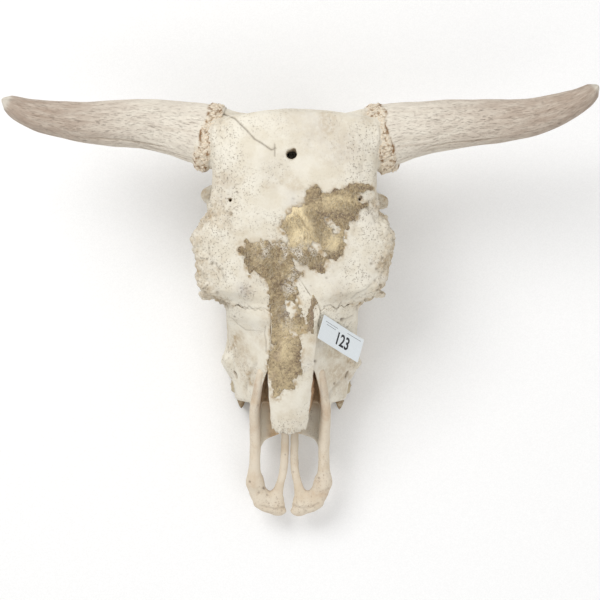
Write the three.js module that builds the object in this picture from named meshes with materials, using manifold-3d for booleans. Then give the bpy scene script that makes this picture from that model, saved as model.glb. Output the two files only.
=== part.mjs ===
// Dry skull of an adult cow with its horn cores and no lower jaw, lying on its cheek teeth.
// Millimetres: +Z is up, +Y runs from the muzzle to the poll, +X is the animal's left.
import * as THREE from 'three';
import { mergeVertices } from 'three/addons/utils/BufferGeometryUtils.js';
import Module from 'manifold-3d';

const wasm = await Module();
wasm.setup();

// Driving dimensions.
const seamGap = 0.35;
const pollY = 200;
const foreheadHalfWidth = 86;
const orbitHalfWidth = 108;
const orbitCentre = { x: 100, y: 33, z: 112 };
const orbitRadius = 31;
const cheekHalfWidth = 71;
const toothRowStartY = -118;
const crownHeight = 22;
const nasalThickness = 4;
const muzzleBarX = 37.8;
const collarReach = 6;
const boltHoleRadius = 6;
const tagLength = 80;
const tagWidth = 26;
const tagThickness = 0.6;
const hideThickness = 1.2;
const hideGap = 0.3;

// The muzzle leans slightly to the right of the animal, so each section is centred on this line.
const midlineAtOrigin = -8.3;
const midlineSlope = 0.0197;
const midline = (y) => midlineAtOrigin + midlineSlope * y;

const v = (x, y, z) => new THREE.Vector3(x, y, z);

// A smooth function of y through a few [y, value] landmarks.
function along(...landmarks) {
  const sorted = [...landmarks].sort((a, b) => a[0] - b[0]);
  const curve = new THREE.CubicInterpolant(
    sorted.map((mark) => mark[0]),
    sorted.map((mark) => mark[1]),
    1,
  );
  return (y) => curve.evaluate(y)[0];
}

const same = (value) => () => value;
const blendTo = (start, finish) => (t) => start + (finish - start) * t;
const signedPower = (value, power) => Math.sign(value) * Math.abs(value) ** power;

// A closed geometry as a solid for cutting and joining.
function solid(geometry) {
  geometry.deleteAttribute('normal');
  geometry.deleteAttribute('uv');
  const merged = mergeVertices(geometry, 1e-3);
  const triVerts = new Uint32Array(merged.index.array);
  const vertProperties = merged.getAttribute('position').array;
  const made = new wasm.Manifold(new wasm.Mesh({ numProp: 3, vertProperties, triVerts }));
  if (made.volume() > 0) return made;
  return new wasm.Manifold(
    new wasm.Mesh({ numProp: 3, vertProperties, triVerts: triVerts.slice().reverse() }),
  );
}

// A closed skin on the grid of a sphere: place(point, t, angle, size) puts each vertex at share t
// of the way from pole to pole, and size falls to 0 at the two poles. A lower end power is blunter.
function closedSkin(rings, sides, endPower, place) {
  const geometry = new THREE.SphereGeometry(1, sides, rings);
  const position = geometry.getAttribute('position');
  const point = v(0, 0, 0);
  for (let ring = 0; ring <= rings; ring++) {
    const polar = (Math.PI * ring) / rings;
    const atPole = ring === 0 || ring === rings;
    const size = atPole ? 0 : Math.sin(polar) ** endPower;
    for (let side = 0; side <= sides; side++) {
      const angle = (2 * Math.PI * (side % sides)) / sides;
      place(point, (1 - Math.cos(polar)) / 2, angle, size);
      position.setXYZ(ring * (sides + 1) + side, point.x + midline(point.y), point.y, point.z);
    }
  }
  return solid(geometry);
}

// A mass along y whose sections are rounded boxes, widest at their edge height.
// A bow pulls the outer parts of each section back by that much, and grow swells the whole skin.
function loft({
  from, to, halfWidth, top, edge, bottom, above = 2, below = 2, bow = same(0), grow = 0, rings = 12,
  sides = 20, end = 0.3,
}) {
  return closedSkin(rings, sides, end, (point, t, angle, size) => {
    const y = from - grow + (to - from + 2 * grow) * t;
    const upper = Math.sin(angle) > 0;
    const rise = grow + (upper ? top(y) - edge(y) : edge(y) - bottom(y));
    const power = 2 / (upper ? above : below);
    const middle = (top(y) + bottom(y)) / 2;
    const z = edge(y) + rise * signedPower(Math.sin(angle), power);
    const across = size * signedPower(Math.cos(angle), power);
    point.set((halfWidth(y) + grow) * across, y - bow(y) * across ** 2, middle + size * (z - middle));
  });
}

// A bar along a smooth path, with a half width across and a half height, each a function of t.
function bar(path, halfAcross, halfHigh, { rings = 5, sides = 8, end = 0.45 } = {}) {
  const curve = new THREE.CatmullRomCurve3(path);
  const up = v(0, 0, 1);
  const back = v(0, 1, 0);
  return closedSkin(rings, sides, end, (point, t, angle, size) => {
    const tangent = curve.getTangent(t);
    const across = v(0, 0, 0).crossVectors(tangent, Math.abs(tangent.z) > 0.8 ? back : up).normalize();
    const high = v(0, 0, 0).crossVectors(across, tangent);
    point.copy(curve.getPoint(t));
    point.addScaledVector(across, size * halfAcross(t) * Math.cos(angle));
    point.addScaledVector(high, size * halfHigh(t) * Math.sin(angle));
  });
}

// An upright rounded block; squareness 2 is an ellipsoid and 5 is nearly a box.
function block(centre, halfSize, squareness = 2, sides = 8, rings = 5) {
  const power = 2 / squareness;
  return closedSkin(rings, sides, power, (point, t, angle, size) => {
    point.set(
      centre.x + size * halfSize.x * signedPower(Math.cos(angle), power),
      centre.y + size * halfSize.y * signedPower(Math.sin(angle), power),
      centre.z + (2 * t - 1) * halfSize.z,
    );
  });
}

const join = (solids) => solids.reduce((whole, next) => whole.add(next));
const bothSides = (make) => [make(1), make(-1)];

// ---- Braincase and forehead ----

const foreheadWidth = along(
  [pollY, 72], [190, 84], [170, foreheadHalfWidth], [125, foreheadHalfWidth], [98, 91], [82, 100],
  [67, orbitHalfWidth + 1], [52, orbitHalfWidth], [40, 104], [17, 103], [8, 97], [1, 80], [-6, 71],
  [-15, 55], [-26, 42], [-50, 28],
);
const skullTop = along(
  [pollY, 180], [194, 189], [184, 193], [160, 195], [120, 191], [80, 182], [40, 169], [0, 155], [-50, 130],
);

function forehead(grow = 0) {
  return loft({
    grow,
    from: -50,
    to: pollY,
    halfWidth: foreheadWidth,
    top: skullTop,
    edge: along([pollY, 160], [170, 166], [120, 164], [80, 150], [60, 143], [30, 140], [0, 128]),
    bottom: along([pollY, 138], [150, 146], [100, 142], [60, 134], [30, 130], [0, 112], [-50, 100]),
    bow: along([pollY, 7], [150, 0]),
    above: 3,
    below: 2.6,
    rings: 16,
    sides: 16,
    end: 0.12,
  });
}

function braincase() {
  return loft({
    from: 34,
    to: 188,
    halfWidth: along([188, 62], [165, 63], [140, 58], [110, 54], [80, 46], [50, 36], [34, 30]),
    top: same(165),
    edge: same(112),
    bottom: along([188, 70], [150, 58], [110, 60], [80, 66], [50, 72], [34, 80]),
    above: 2.6,
    rings: 6,
    sides: 12,
  });
}

// The nape plate, wide at the level of the ears and narrower towards the condyles.
function napePlate() {
  return closedSkin(6, 14, 0.3, (point, t, angle, size) => {
    const z = 118 + size * 66 * signedPower(Math.sin(angle), 0.7);
    const reach = 62 + 24 * THREE.MathUtils.smoothstep(z, 62, 135);
    point.set(size * reach * signedPower(Math.cos(angle), 0.7), 164 + 29 * t, z);
  });
}

function occiput() {
  return join([
    napePlate(),
    ...bothSides((side) => block(v(side * 27, 177, 66), v(22, 17, 22))),
    bar([v(0, 186, 62), v(0, 120, 60), v(0, 58, 72)], blendTo(30, 15), blendTo(16, 13)),
    ...bothSides((side) =>
      bar([v(side * 56, 172, 92), v(side * 52, 164, 45), v(side * 46, 156, -4)],
        blendTo(9, 6), blendTo(17, 9)),
    ),
    ...bothSides((side) => block(v(side * 40, 122, 50), v(11, 15, 20))),
    ...bothSides((side) =>
      bar([v(side * 39, 112, 46), v(side * 37, 100, 22)], same(3.5), blendTo(7, 3), { rings: 5, sides: 8 }),
    ),
    ...bothSides((side) => bar([v(side * 46, 130, 84), v(side * 78, 132, 92)], same(9), same(9))),
  ]);
}

// ---- Eye sockets and cheekbones ----

function cheekArch(side) {
  const jointY = 111 - 4 * side;
  return join([
    bar(
      [v(side * 54, jointY + 16, 94), v(side * 80, jointY + 9, 88), v(side * 91, jointY, 82), v(side * 84, 97, 84),
        v(side * 87, 84, 89), v(side * 95, 68, 90), v(side * 98, 52, 82), v(side * 95, 32, 77), v(side * 86, 12, 80),
        v(side * 68, -8, 84)],
      same(8.5), same(9), { rings: 13 },
    ),
    block(v(side * 91, jointY, 79), v(11, 9, 8)),
    bar([v(side * 101, 76, 146), v(side * 100, 72, 120), v(side * 96, 68, 92)], same(8), same(8)),
    bar([v(side * 94, 8, 136), v(side * 90, 1, 112), v(side * 84, 0, 86)], same(9), same(8)),
  ]);
}

// The hollow of the eye socket narrows inwards and backwards, and opens into the temporal fossa.
function orbitHollow(side) {
  const { x, y, z } = orbitCentre;
  return bar(
    [v(side * (x + 24), y - 3, z + 2), v(side * x, y, z), v(side * 74, y + 8, z), v(side * 52, y + 22, z - 4)],
    blendTo(orbitRadius + 1, 17), blendTo(orbitRadius + 1, 17), { rings: 5, sides: 12, end: 0.2 },
  );
}

function faceCore() {
  return loft({
    from: -24,
    to: 78,
    halfWidth: along([78, 40], [45, 42], [22, 54], [0, 68], [-24, 70]),
    top: same(150),
    edge: same(96),
    bottom: along([78, 70], [40, 62], [12, 44], [-24, 34]),
    above: 3,
    below: 3,
    sides: 12,
    rings: 5,
  });
}

// ---- Upper jaw ----

const nasalTop = along([34, 165], [0, 157], [-40, 143], [-80, 127], [-110, 111], [-134, 97], [-146, 90]);

// Each cheek is flattened from the edge of the nasal bones down to the facial crest.
function cheeks(grow = 0) {
  const whole = loft({
    grow,
    from: -132,
    to: 16,
    halfWidth: along([16, 64], [0, 70], [-20, cheekHalfWidth], [-45, 70], [-68, 70], [-85, 66.5], [-105, 62],
      [-132, 52]),
    top: along([16, 153], [-20, 148], [-60, 133], [-100, 112], [-132, 94]),
    edge: along([16, 92], [-20, 88], [-68, 62], [-100, 42], [-132, 38]),
    bottom: same(crownHeight - 4),
    above: 2,
    below: 4,
    rings: 9,
    sides: 14,
    end: 0.15,
  });
  return bothSides((side) => [v(side * 27 + midline(-40), -40, 142 + grow), v(-1.41 * side, 0.433, -1).normalize()])
    .reduce((rest, [point, inward]) => rest.trimByPlane(inward.toArray(), inward.dot(point)), whole);
}

function cheekKnob(side) {
  return join([
    block(v(side * 66.5, -68, 60), v(10, 12, 9)),
    bar([v(side * 66, -66, 60), v(side * 66, -36, 66), v(side * 68, -6, 76)], same(5), same(5)),
  ]);
}

// Side wall between the first tooth and the muzzle, and the shelf of the hard palate.
function muzzleRoot() {
  return join([
    ...bothSides((side) =>
      bar([v(side * 38, -92, 66), v(side * 39, -122, 58), v(side * 39, -158, 50)], same(6.5), blendTo(32, 13)),
    ),
    loft({
      from: -156,
      to: -96,
      halfWidth: along([-96, 44], [-130, 41], [-156, 38]),
      top: same(37),
      edge: same(33),
      bottom: same(28),
      rings: 6,
      sides: 14,
      end: 0.15,
    }),
  ]);
}

const toothLengths = [15, 18, 18, 23, 26, 28];

function toothRow(side) {
  const crowns = [];
  let front = toothRowStartY;
  toothLengths.forEach((length, place) => {
    const centreY = front + length / 2;
    const reach = 53.5 + 7.5 * Math.sin((Math.PI * (place + 0.5)) / 7);
    const halfWidth = 8 + 0.6 * place;
    crowns.push(
      block(v(side * reach, centreY, crownHeight / 2), v(halfWidth, length / 2 + 0.6, crownHeight / 2 + 6), 4, 8, 4),
    );
    front += length;
  });
  return join(crowns);
}

function nasalHollow() {
  return loft({
    from: -175,
    to: -38,
    halfWidth: along([-175, 31], [-120, 31], [-85, 27], [-60, 22], [-38, 16]),
    top: along([-175, 140], [-128, 140], [-104, 128], [-80, 122], [-38, 128]),
    edge: same(75),
    bottom: along([-175, 36], [-100, 37], [-38, 52]),
    above: 6,
    below: 3,
    rings: 7,
    sides: 10,
  });
}

function palateVault() {
  return loft({
    from: -132,
    to: 40,
    halfWidth: same(40),
    top: along([-132, 26], [-60, 30], [40, 34]),
    edge: same(8),
    bottom: same(-10),
    sides: 12,
    rings: 6,
  });
}

// The back opening of the nose, between the two wing plates.
function throatHollow() {
  return loft({
    from: 22,
    to: 92,
    halfWidth: same(15),
    top: along([22, 58], [92, 56]),
    edge: same(40),
    bottom: same(-10),
    sides: 12,
    rings: 6,
  });
}

function wingPlate(side) {
  return bar([v(side * 24, 14, 48), v(side * 22, 46, 46), v(side * 20, 78, 58)], same(4), blendTo(24, 16));
}

// ---- Nasal bones ----

function nasalForm(grow, drop = 0) {
  const width = along([34, 6], [20, 17], [0, 22], [-30, 25], [-70, 25.5], [-100, 22.5], [-132, 20], [-146, 15]);
  return loft({
    grow,
    from: -146,
    to: 34,
    halfWidth: width,
    top: (y) => nasalTop(y) - drop,
    edge: (y) => nasalTop(y) - 5 - drop,
    bottom: (y) => nasalTop(y) - 9 - drop,
    above: 2.4,
    below: 4,
    end: 0.12,
    rings: 9,
    sides: 10,
  });
}

// ---- Muzzle bones ----

function muzzleBones() {
  return bothSides((side) =>
    join([
      bar(
        [v(side * 40, -84, 92), v(side * 38, -118, 76), v(side * muzzleBarX, -155, 60),
          v(side * 38.5, -188, 50), v(side * 38, -212, 40)],
        (t) => 7.5 + 3 * THREE.MathUtils.smoothstep(t, 0.7, 0.9),
        blendTo(9, 7), { rings: 8 },
      ),
      bar(
        [v(side * 38, -198, 44), v(side * 34, -214, 38), v(side * 22, -228, 33), v(side * 8, -234.5, 31)],
        (t) => 9 + 3 * Math.sin(Math.PI * t), same(5.5), { rings: 7, end: 0.2 },
      ),
      bar(
        [v(side * 6.2, -118, 37), v(side * 6.2, -160, 40), v(side * 7.4, -196, 40), v(side * 12.5, -214, 37),
          v(side * 13, -228, 33)],
        (t) => 5 + 3.4 * THREE.MathUtils.smoothstep(t, 0.66, 1), same(3.6), { rings: 8 },
      ),
    ]),
  );
}

// ---- Horn cores ----

const horns = {
  left: {
    base: v(83.4, 171.2, 150),
    facing: v(0.947, 0.32, 0),
    path: [v(66, 168, 150), v(83.4, 171.4, 150), v(112, 178.4, 150), v(154, 184, 153), v(205.6, 186.8, 162),
      v(246.5, 191.6, 170), v(287, 205.2, 180), v(308.6, 219.6, 186)],
  },
  right: {
    base: v(-95, 172.4, 150),
    facing: v(-0.94, 0.34, 0),
    path: [v(-78, 168, 150), v(-95, 172.8, 150), v(-116, 178, 150), v(-156, 184.7, 153),
      v(-197.6, 185.5, 159), v(-238.5, 186.8, 167), v(-279, 192.7, 176), v(-307.5, 205.5, 185)],
  },
};
const hornRadius = along(
  [0, 35], [0.09, 34.4], [0.2, 30.6], [0.35, 27], [0.55, 23.2], [0.75, 18.6], [0.9, 14], [1, 7],
);

// The horn paths are given in the part's own frame, so the midline shift is taken off first.
const offMidline = (point) => v(point.x - midline(point.y), point.y, point.z);

function hornCore({ base, facing, path }) {
  const curve = path.map(offMidline);
  const core = bar(curve, hornRadius, (t) => 0.94 * hornRadius(t), { rings: 12, sides: 12, end: 0.12 });
  const rim = offMidline(base);
  const collar = bar(
    [rim.clone().addScaledVector(facing, -collarReach - 1), rim.clone().addScaledVector(facing, collarReach + 3)],
    same(37), same(34), { rings: 4, sides: 12, end: 0.3 },
  );
  return core.add(collar);
}

// The two sides of a flat cut through a solid, with the seam gap between them.
function partAt(whole, point, normal) {
  const unit = normal.clone().normalize();
  const offset = unit.dot(point);
  const ahead = whole.trimByPlane(unit.toArray(), offset + seamGap / 2);
  const behind = whole.trimByPlane(unit.clone().negate().toArray(), -(offset - seamGap / 2));
  return [ahead, behind];
}

// What lies inside an upright box, and the rest, with the seam gap between them.
function boxedAt(whole, low, high) {
  const size = high.clone().sub(low);
  const centre = low.clone().add(high).multiplyScalar(0.5);
  const boxOf = (grow) => {
    const geometry = new THREE.BoxGeometry(size.x + grow, size.y + grow, size.z + grow);
    return solid(geometry).translate(centre.toArray());
  };
  return [whole.intersect(boxOf(0)), whole.subtract(boxOf(2 * seamGap))];
}

const largest = (whole) => whole.decompose().sort((a, b) => b.volume() - a.volume())[0];
const aboveFloor = (whole) => whole.trimByPlane([0, 0, 1], 0);

function boltHole() {
  return bar([v(2, 154, 205), v(2, 152, 165)], same(boltHoleRadius), same(boltHoleRadius), { rings: 4, end: 0.1 });
}

function magnumHollow() {
  return bar([v(0, 215, 90), v(0, 130, 92)], blendTo(19, 17), blendTo(18, 16), { rings: 4, sides: 12, end: 0.1 });
}

// ---- Assembly ----

const nasalRecess = nasalForm(seamGap);
const head = aboveFloor(
  join([
    forehead(), braincase(), occiput(), faceCore(), cheeks(), muzzleRoot(),
    ...bothSides(cheekArch), ...bothSides(cheekKnob), ...bothSides(wingPlate),
  ])
    .subtract(join(bothSides(orbitHollow)))
    .subtract(palateVault())
    .subtract(throatHollow())
    .subtract(nasalHollow())
    .subtract(magnumHollow())
    .subtract(boltHole())
    .subtract(nasalRecess)
    .add(join(bothSides(toothRow))),
);

const sutureNormal = v(0, 1, 0.32);
const sutureHeight = v(0, -8, 140);
const [skullBack, jaws] = partAt(head, sutureHeight, sutureNormal);
const sagittal = v(1, -midlineSlope, 0);
const sagittalPoint = v(midlineAtOrigin, 0, 0);
const [jawLeft, jawRight] = partAt(jaws, sagittalPoint, sagittal);
const nasalArch = nasalForm(0).subtract(nasalForm(0, nasalThickness));
const [nasalLeft, nasalRight] = partAt(nasalArch, sagittalPoint, sagittal);

let rooted = skullBack;
const hornCores = {};
for (const [side, horn] of Object.entries(horns)) {
  const collarBack = horn.base.clone().addScaledVector(horn.facing, -collarReach);
  const [tipSide, rootSide] = partAt(hornCore(horn), collarBack, horn.facing);
  const [beyond] = partAt(rooted.add(rootSide), collarBack, horn.facing);
  hornCores[side] = largest(tipSide);
  rooted = rooted.add(rootSide).subtract(hornCores[side]).subtract(beyond);
}

const [occipital, skullFront] = boxedAt(rooted, v(-110, 151, -10), v(95, 210, 115));
const [cheekboneLeft, withoutLeft] = boxedAt(skullFront, v(55, -40, 40), v(130, 138, 117));
const [cheekboneRight, withoutBoth] = boxedAt(withoutLeft, v(-140, -40, 40), v(-70, 138, 117));

const [muzzleLeft, muzzleRight] = muzzleBones();

// ---- Dried hide ----

// The hide keeps a thin gap above the bone it covers: it is the space between two grown copies of
// the bone, inside an upright outline of [x, y] landmarks.
const hideOutline = [
  [13, 117], [37, 113], [56, 120], [73, 118], [68, 97], [59, 86], [50, 78], [46, 62], [42, 47], [34, 41],
  [28, 34], [20, 29], [8, 33], [-3, 39], [-5, 20], [-3, 0], [3, -18], [7, -25], [14, -34], [3, -35],
  [0, -43], [1, -53], [0, -66], [-2, -79], [-6, -92], [-21, -98], [-26, -105], [-30, -93], [-34, -79],
  [-32, -50], [-30, -27], [-30, -1], [-33, 17], [-40, 23], [-50, 28], [-57, 35], [-64, 56], [-56, 62],
  [-30, 61], [-15, 61], [-20, 80], [-17, 89], [-5, 95], [7, 101],
];

function driedHide() {
  const shape = new THREE.Shape(hideOutline.map(([x, y]) => new THREE.Vector2(x, y)));
  const prism = solid(new THREE.ExtrudeGeometry(shape, { depth: 150, bevelEnabled: false }));
  const covered = (grow) => join([forehead(grow), cheeks(grow), nasalForm(grow)]);
  return covered(hideGap + hideThickness).subtract(covered(hideGap)).intersect(prism.translate([0, 0, 80]));
}

// ---- Materials ----

const finish = (color, roughness) => new THREE.MeshStandardMaterial({ color, roughness, metalness: 0 });
const bone = finish(0xe6dcc6, 0.75);
const hornBone = finish(0xd9c9b4, 0.8);
const hide = finish(0xa08a5e, 0.9);
const card = finish(0xe9eef0, 0.6);

const skull = new THREE.Group();

function addNode(name, made, material) {
  const { vertProperties, triVerts } = largest(made).getMesh();
  const geometry = new THREE.BufferGeometry();
  geometry.setAttribute('position', new THREE.BufferAttribute(new Float32Array(vertProperties), 3));
  geometry.setIndex(new THREE.BufferAttribute(new Uint32Array(triVerts), 1));
  const mesh = new THREE.Mesh(geometry, material);
  mesh.name = name;
  skull.add(mesh);
}

addNode('cranium', withoutBoth, bone);
addNode('occipital_bone', occipital, bone);
addNode('cheekbone_left', cheekboneLeft, bone);
addNode('cheekbone_right', cheekboneRight, bone);
addNode('upper_jaw_left', jawLeft.subtract(muzzleLeft), bone);
addNode('upper_jaw_right', jawRight.subtract(muzzleRight), bone);
addNode('nasal_bone_left', nasalLeft, bone);
addNode('nasal_bone_right', nasalRight, bone);
addNode('muzzle_bone_left', muzzleLeft, bone);
addNode('muzzle_bone_right', muzzleRight, bone);
addNode('horn_core_left', hornCores.left, hornBone);
addNode('horn_core_right', hornCores.right, hornBone);
addNode('dried_hide', driedHide(), hide);

// The stiff card lies across the left cheek, from the edge of the nasal bones to the facial crest.
const tag = new THREE.Mesh(new THREE.BoxGeometry(tagLength, tagWidth, tagThickness), card);
const tagAlong = v(44.4, -28.4, -62).normalize();
const tagNormal = v(0, 0, 0).crossVectors(tagAlong, v(4.9, 25.2, -3)).normalize();
const tagUpright = v(0, 0, 0).crossVectors(tagNormal, tagAlong);
tag.quaternion.setFromRotationMatrix(new THREE.Matrix4().makeBasis(tagAlong, tagUpright, tagNormal));
tag.position.set(43.2, -41.4, 123.5);
tag.name = 'lot_tag';
skull.add(tag);

// The origin is on the floor, under the middle of the whole.
const box = new THREE.Box3().setFromObject(skull);
const middle = box.getCenter(v(0, 0, 0));
skull.position.set(-middle.x, -middle.y, -box.min.z);

export default skull;
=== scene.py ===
import math
import bpy
import mathutils
import numpy as np
import openvdb
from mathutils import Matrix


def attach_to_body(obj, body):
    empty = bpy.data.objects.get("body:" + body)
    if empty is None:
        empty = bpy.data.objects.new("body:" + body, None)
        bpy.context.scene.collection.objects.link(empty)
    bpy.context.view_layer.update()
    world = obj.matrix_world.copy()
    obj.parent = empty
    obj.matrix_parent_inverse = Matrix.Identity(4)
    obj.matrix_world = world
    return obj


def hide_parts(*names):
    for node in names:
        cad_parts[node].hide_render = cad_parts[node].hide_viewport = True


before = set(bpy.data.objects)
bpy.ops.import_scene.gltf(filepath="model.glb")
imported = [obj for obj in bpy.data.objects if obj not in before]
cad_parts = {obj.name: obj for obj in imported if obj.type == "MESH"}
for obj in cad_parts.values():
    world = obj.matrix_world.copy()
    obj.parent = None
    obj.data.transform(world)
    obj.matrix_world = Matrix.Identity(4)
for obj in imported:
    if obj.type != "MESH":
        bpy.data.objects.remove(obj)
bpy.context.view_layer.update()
print("frame loaded")

# The skull is modelled in millimetres: x to the animal's left, y from muzzle to poll, z up from the floor.
# The muzzle leans a little, so every section is centred on the midline at its y.
place = {"shift": (-1.218, 8.731, 0.0), "unit": 0.001, "eyeHeight": 2100.0, "markLevel": 150.0,
         "midlineAt0": -8.3, "midlineSlope": 0.0197}
rough = 1.0  # coarser grids while trying things out


def midline(y):
    return place["midlineAt0"] + place["midlineSlope"] * y


def toWorld(points):
    return (np.asarray(points, float) + place["shift"]) * place["unit"]


# number tools

def through(*marks):
    # a smooth curve through (place, value) landmarks: cubic pieces, each slope the weighted mean of its
    # chords
    at, value = np.array(sorted(marks), float).T
    width = np.diff(at)
    chord = np.diff(value) / width
    inner = (chord[:-1] * width[1:] + chord[1:] * width[:-1]) / (width[:-1] + width[1:])
    slope = np.concatenate([chord[:1], inner, chord[-1:]])

    def curve(x):
        x = np.clip(x, at[0], at[-1])
        i = np.clip(np.searchsorted(at, x, side="right") - 1, 0, len(width) - 1)
        t = (x - at[i]) / width[i]
        return ((2 * t**3 - 3 * t**2 + 1) * value[i] + (t**3 - 2 * t**2 + t) * width[i] * slope[i]
                + (3 * t**2 - 2 * t**3) * value[i + 1] + (t**3 - t**2) * width[i] * slope[i + 1])
    return curve


def level(value):
    return lambda y: value + 0 * y


def ramp(x, start, end):
    # rises smoothly from 0 at start to 1 at end: t^2 (3 - 2t)
    t = np.clip((x - start) / (end - start), 0, 1)
    return t * t * (3 - 2 * t)


def bell(far, width, power=2):
    # exp(-|far / width|^power)
    return np.exp(-np.abs(far / width) ** power)


def over(t, value):
    # a size along a path: a plain number, a (start, end) pair, or a function of the share t
    if callable(value):
        return value(t)
    if isinstance(value, tuple):
        return value[0] + (value[1] - value[0]) * t
    return value + 0 * t


def spots(x, y, z):
    # places from three arrays that stretch over each other
    return np.stack(np.broadcast_arrays(x, y, z), -1)


def smoothPath(points, count):
    # a Catmull-Rom curve through the points, cut into equal steps of its parameter
    p = np.array(points, float)
    p = np.vstack([2 * p[0] - p[1], p, 2 * p[-1] - p[-2]])
    s = np.linspace(0, len(points) - 1, count)
    i = np.minimum(s.astype(int), len(points) - 2)
    t = (s - i)[:, None]
    a, b, c, d = p[i], p[i + 1], p[i + 2], p[i + 3]
    return 0.5 * (2 * b + (c - a) * t + (2 * a - 5 * b + 4 * c - d) * t**2 + (3 * b - a - 3 * c + d) * t**3)


def scatter(cell, seed):
    # a repeatable number from 0 to 1 for each whole-number cell, by mixing its indices with large odd factors
    n = cell[..., 0] * 73856093 ^ cell[..., 1] * 19349663 ^ cell[..., 2] * 83492791 ^ (seed * 97531 + 12345)
    n = (n ^ (n >> 13)) * 1274126177 & 0xFFFFFFFF
    n = (n ^ (n >> 16)) * 668265263 & 0xFFFFFFFF
    return ((n ^ (n >> 15)) & 0xFFFFFF) / 16777215.0


def cloud(points, size, seed=0, layers=3):
    # smooth noise from about -1 to 1: corner values blended across a cell, each layer half as wide and strong
    total, weight, power = 0.0, 1.0, 0.0
    for layer in range(layers):
        p = np.asarray(points, float) / size * 2**layer + 17.3 * layer
        base = np.floor(p).astype(np.int64)
        f = p - base
        f = f * f * (3 - 2 * f)
        value = 0.0
        for corner in np.ndindex(2, 2, 2):
            share = np.prod(np.where(np.array(corner) == 1, f, 1 - f), axis=-1)
            value = value + share * scatter(base + np.array(corner), seed + layer)
        total = total + weight * (2 * value - 1)
        power += weight * weight
        weight *= 0.5
    return np.clip(total / math.sqrt(power) * 1.5, -1.3, 1.3)


def cells(points, size, seed=0):
    # distance, in cell widths, to the nearest of one random point in each cell, and that point's own number
    p = np.asarray(points, float) / size
    base = np.floor(p).astype(np.int64)
    best = np.full(p.shape[:-1], 9.0)
    own = np.zeros(p.shape[:-1])
    for step in np.ndindex(3, 3, 3):
        cell = base + np.array(step) - 1
        centre = cell + np.stack([scatter(cell, seed + k) for k in range(3)], axis=-1)
        far = ((p - centre) ** 2).sum(-1)
        own = np.where(far < best, scatter(cell, seed + 3), own)
        best = np.minimum(best, far)
    return np.sqrt(best), own


# clay: solids as distances on a grid

clayLimit = {"empty": 30.0, "band": 5.0, "tiny": 1e-5}


def smoothLower(a, b, soft):
    # the smaller of two distances, with the corner between them filled over the width soft
    h = np.clip(0.5 + 0.5 * (b - a) / soft, 0, 1)
    return b + (a - b) * h - soft * h * (1 - h)


def smoothUpper(a, b, soft):
    return -smoothLower(-a, -b, soft)


class Clay:
    # a block of space that holds, at each grid point, the distance to the surface being modelled
    def __init__(self, low, high, step):
        self.step = step
        self.axis = [np.arange(low[k], high[k] + step, step) for k in range(3)]
        self.value = np.full([len(a) for a in self.axis], clayLimit["empty"], np.float32)

    def between(self, low, high):
        return tuple(slice(*np.searchsorted(self.axis[k], (low[k], high[k]))) for k in range(3))

    def work(self, form, soft, mix):
        low, high, distance = form
        lean = midline(np.array([low[1], high[1]]))
        pad = soft + 3
        cut = self.between((low[0] + lean.min() - pad, low[1] - pad, low[2] - pad),
                           (high[0] + lean.max() + pad, high[1] + pad, high[2] + pad))
        x, y, z = (self.axis[k][cut[k]].astype(np.float32) for k in range(3))
        if min(x.size, y.size, z.size):
            x, y, z = x[:, None, None], y[None, :, None], z[None, None, :]
            self.value[cut] = mix(self.value[cut], distance(x - midline(y), y, z), soft)

    def add(self, form, soft=4.0):
        self.work(form, soft, smoothLower)

    def carve(self, form, soft=2.0):
        self.work(form, soft, lambda old, new, s: smoothUpper(old, -new, s))

    def keep(self, distance, soft=0.6):
        x, y, z = self.axis[0][:, None, None], self.axis[1][None, :, None], self.axis[2][None, None, :]
        self.value = smoothUpper(self.value, distance(x - midline(y), y, z), soft).astype(np.float32)

    def skin(self):
        # the surface where the distance is 0, as points in millimetres and four-sided faces
        band = clayLimit["band"]
        self.value[[0, -1]] = self.value[:, [0, -1]] = self.value[:, :, [0, -1]] = band
        grid = openvdb.FloatGrid(background=band)
        grid.copyFromArray(np.clip(self.value, -band, band), tolerance=0.0)
        points, faces = grid.convertToQuads(isovalue=0.0)
        points = points * self.step + np.array([a[0] for a in self.axis])
        return biggestPiece(points, faces.astype(np.int64))


def biggestPiece(points, faces):
    # each point takes the lowest number among its neighbours until nothing changes; the commonest number
    # is kept
    mark = np.arange(len(points))
    while True:
        lowest = mark[faces].min(1)
        new = mark.copy()
        for k in range(4):
            np.minimum.at(new, faces[:, k], lowest)
        new = new[new]
        if (new == mark).all():
            break
        mark = new
    kept = mark == np.bincount(mark).argmax()
    number = np.cumsum(kept) - 1
    return points[kept], number[faces[kept[faces[:, 0]]]]


def mass(span, halfWidth, top, edge, bottom, above=2.0, below=2.0, bow=None, endSoft=6.0):
    # rounded-box sections along y: radial distance r - r/s from the edge line, s being the share of the
    # outline reached
    ys = np.linspace(*span, 40)
    reach = halfWidth(ys).max()
    low = (-reach, span[0], bottom(ys).min())
    high = (reach, span[1], top(ys).max())

    def distance(x, y, z):
        w, t, e, b = halfWidth(y), top(y), edge(y), bottom(y)
        up = z > e
        power = np.where(up, above, below)
        u, v = np.abs(x) / w, np.abs(z - e) / np.where(up, t - e, e - b)
        s = (u**power + v**power) ** (1 / power) + clayLimit["tiny"]
        r = np.sqrt(x**2 + (z - e) ** 2)
        along = y if bow is None else y + bow(y) * np.minimum(u, 1) ** 2
        return smoothUpper(r - r / s, np.maximum(span[0] - along, along - span[1]), endSoft)
    return low, high, distance


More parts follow.
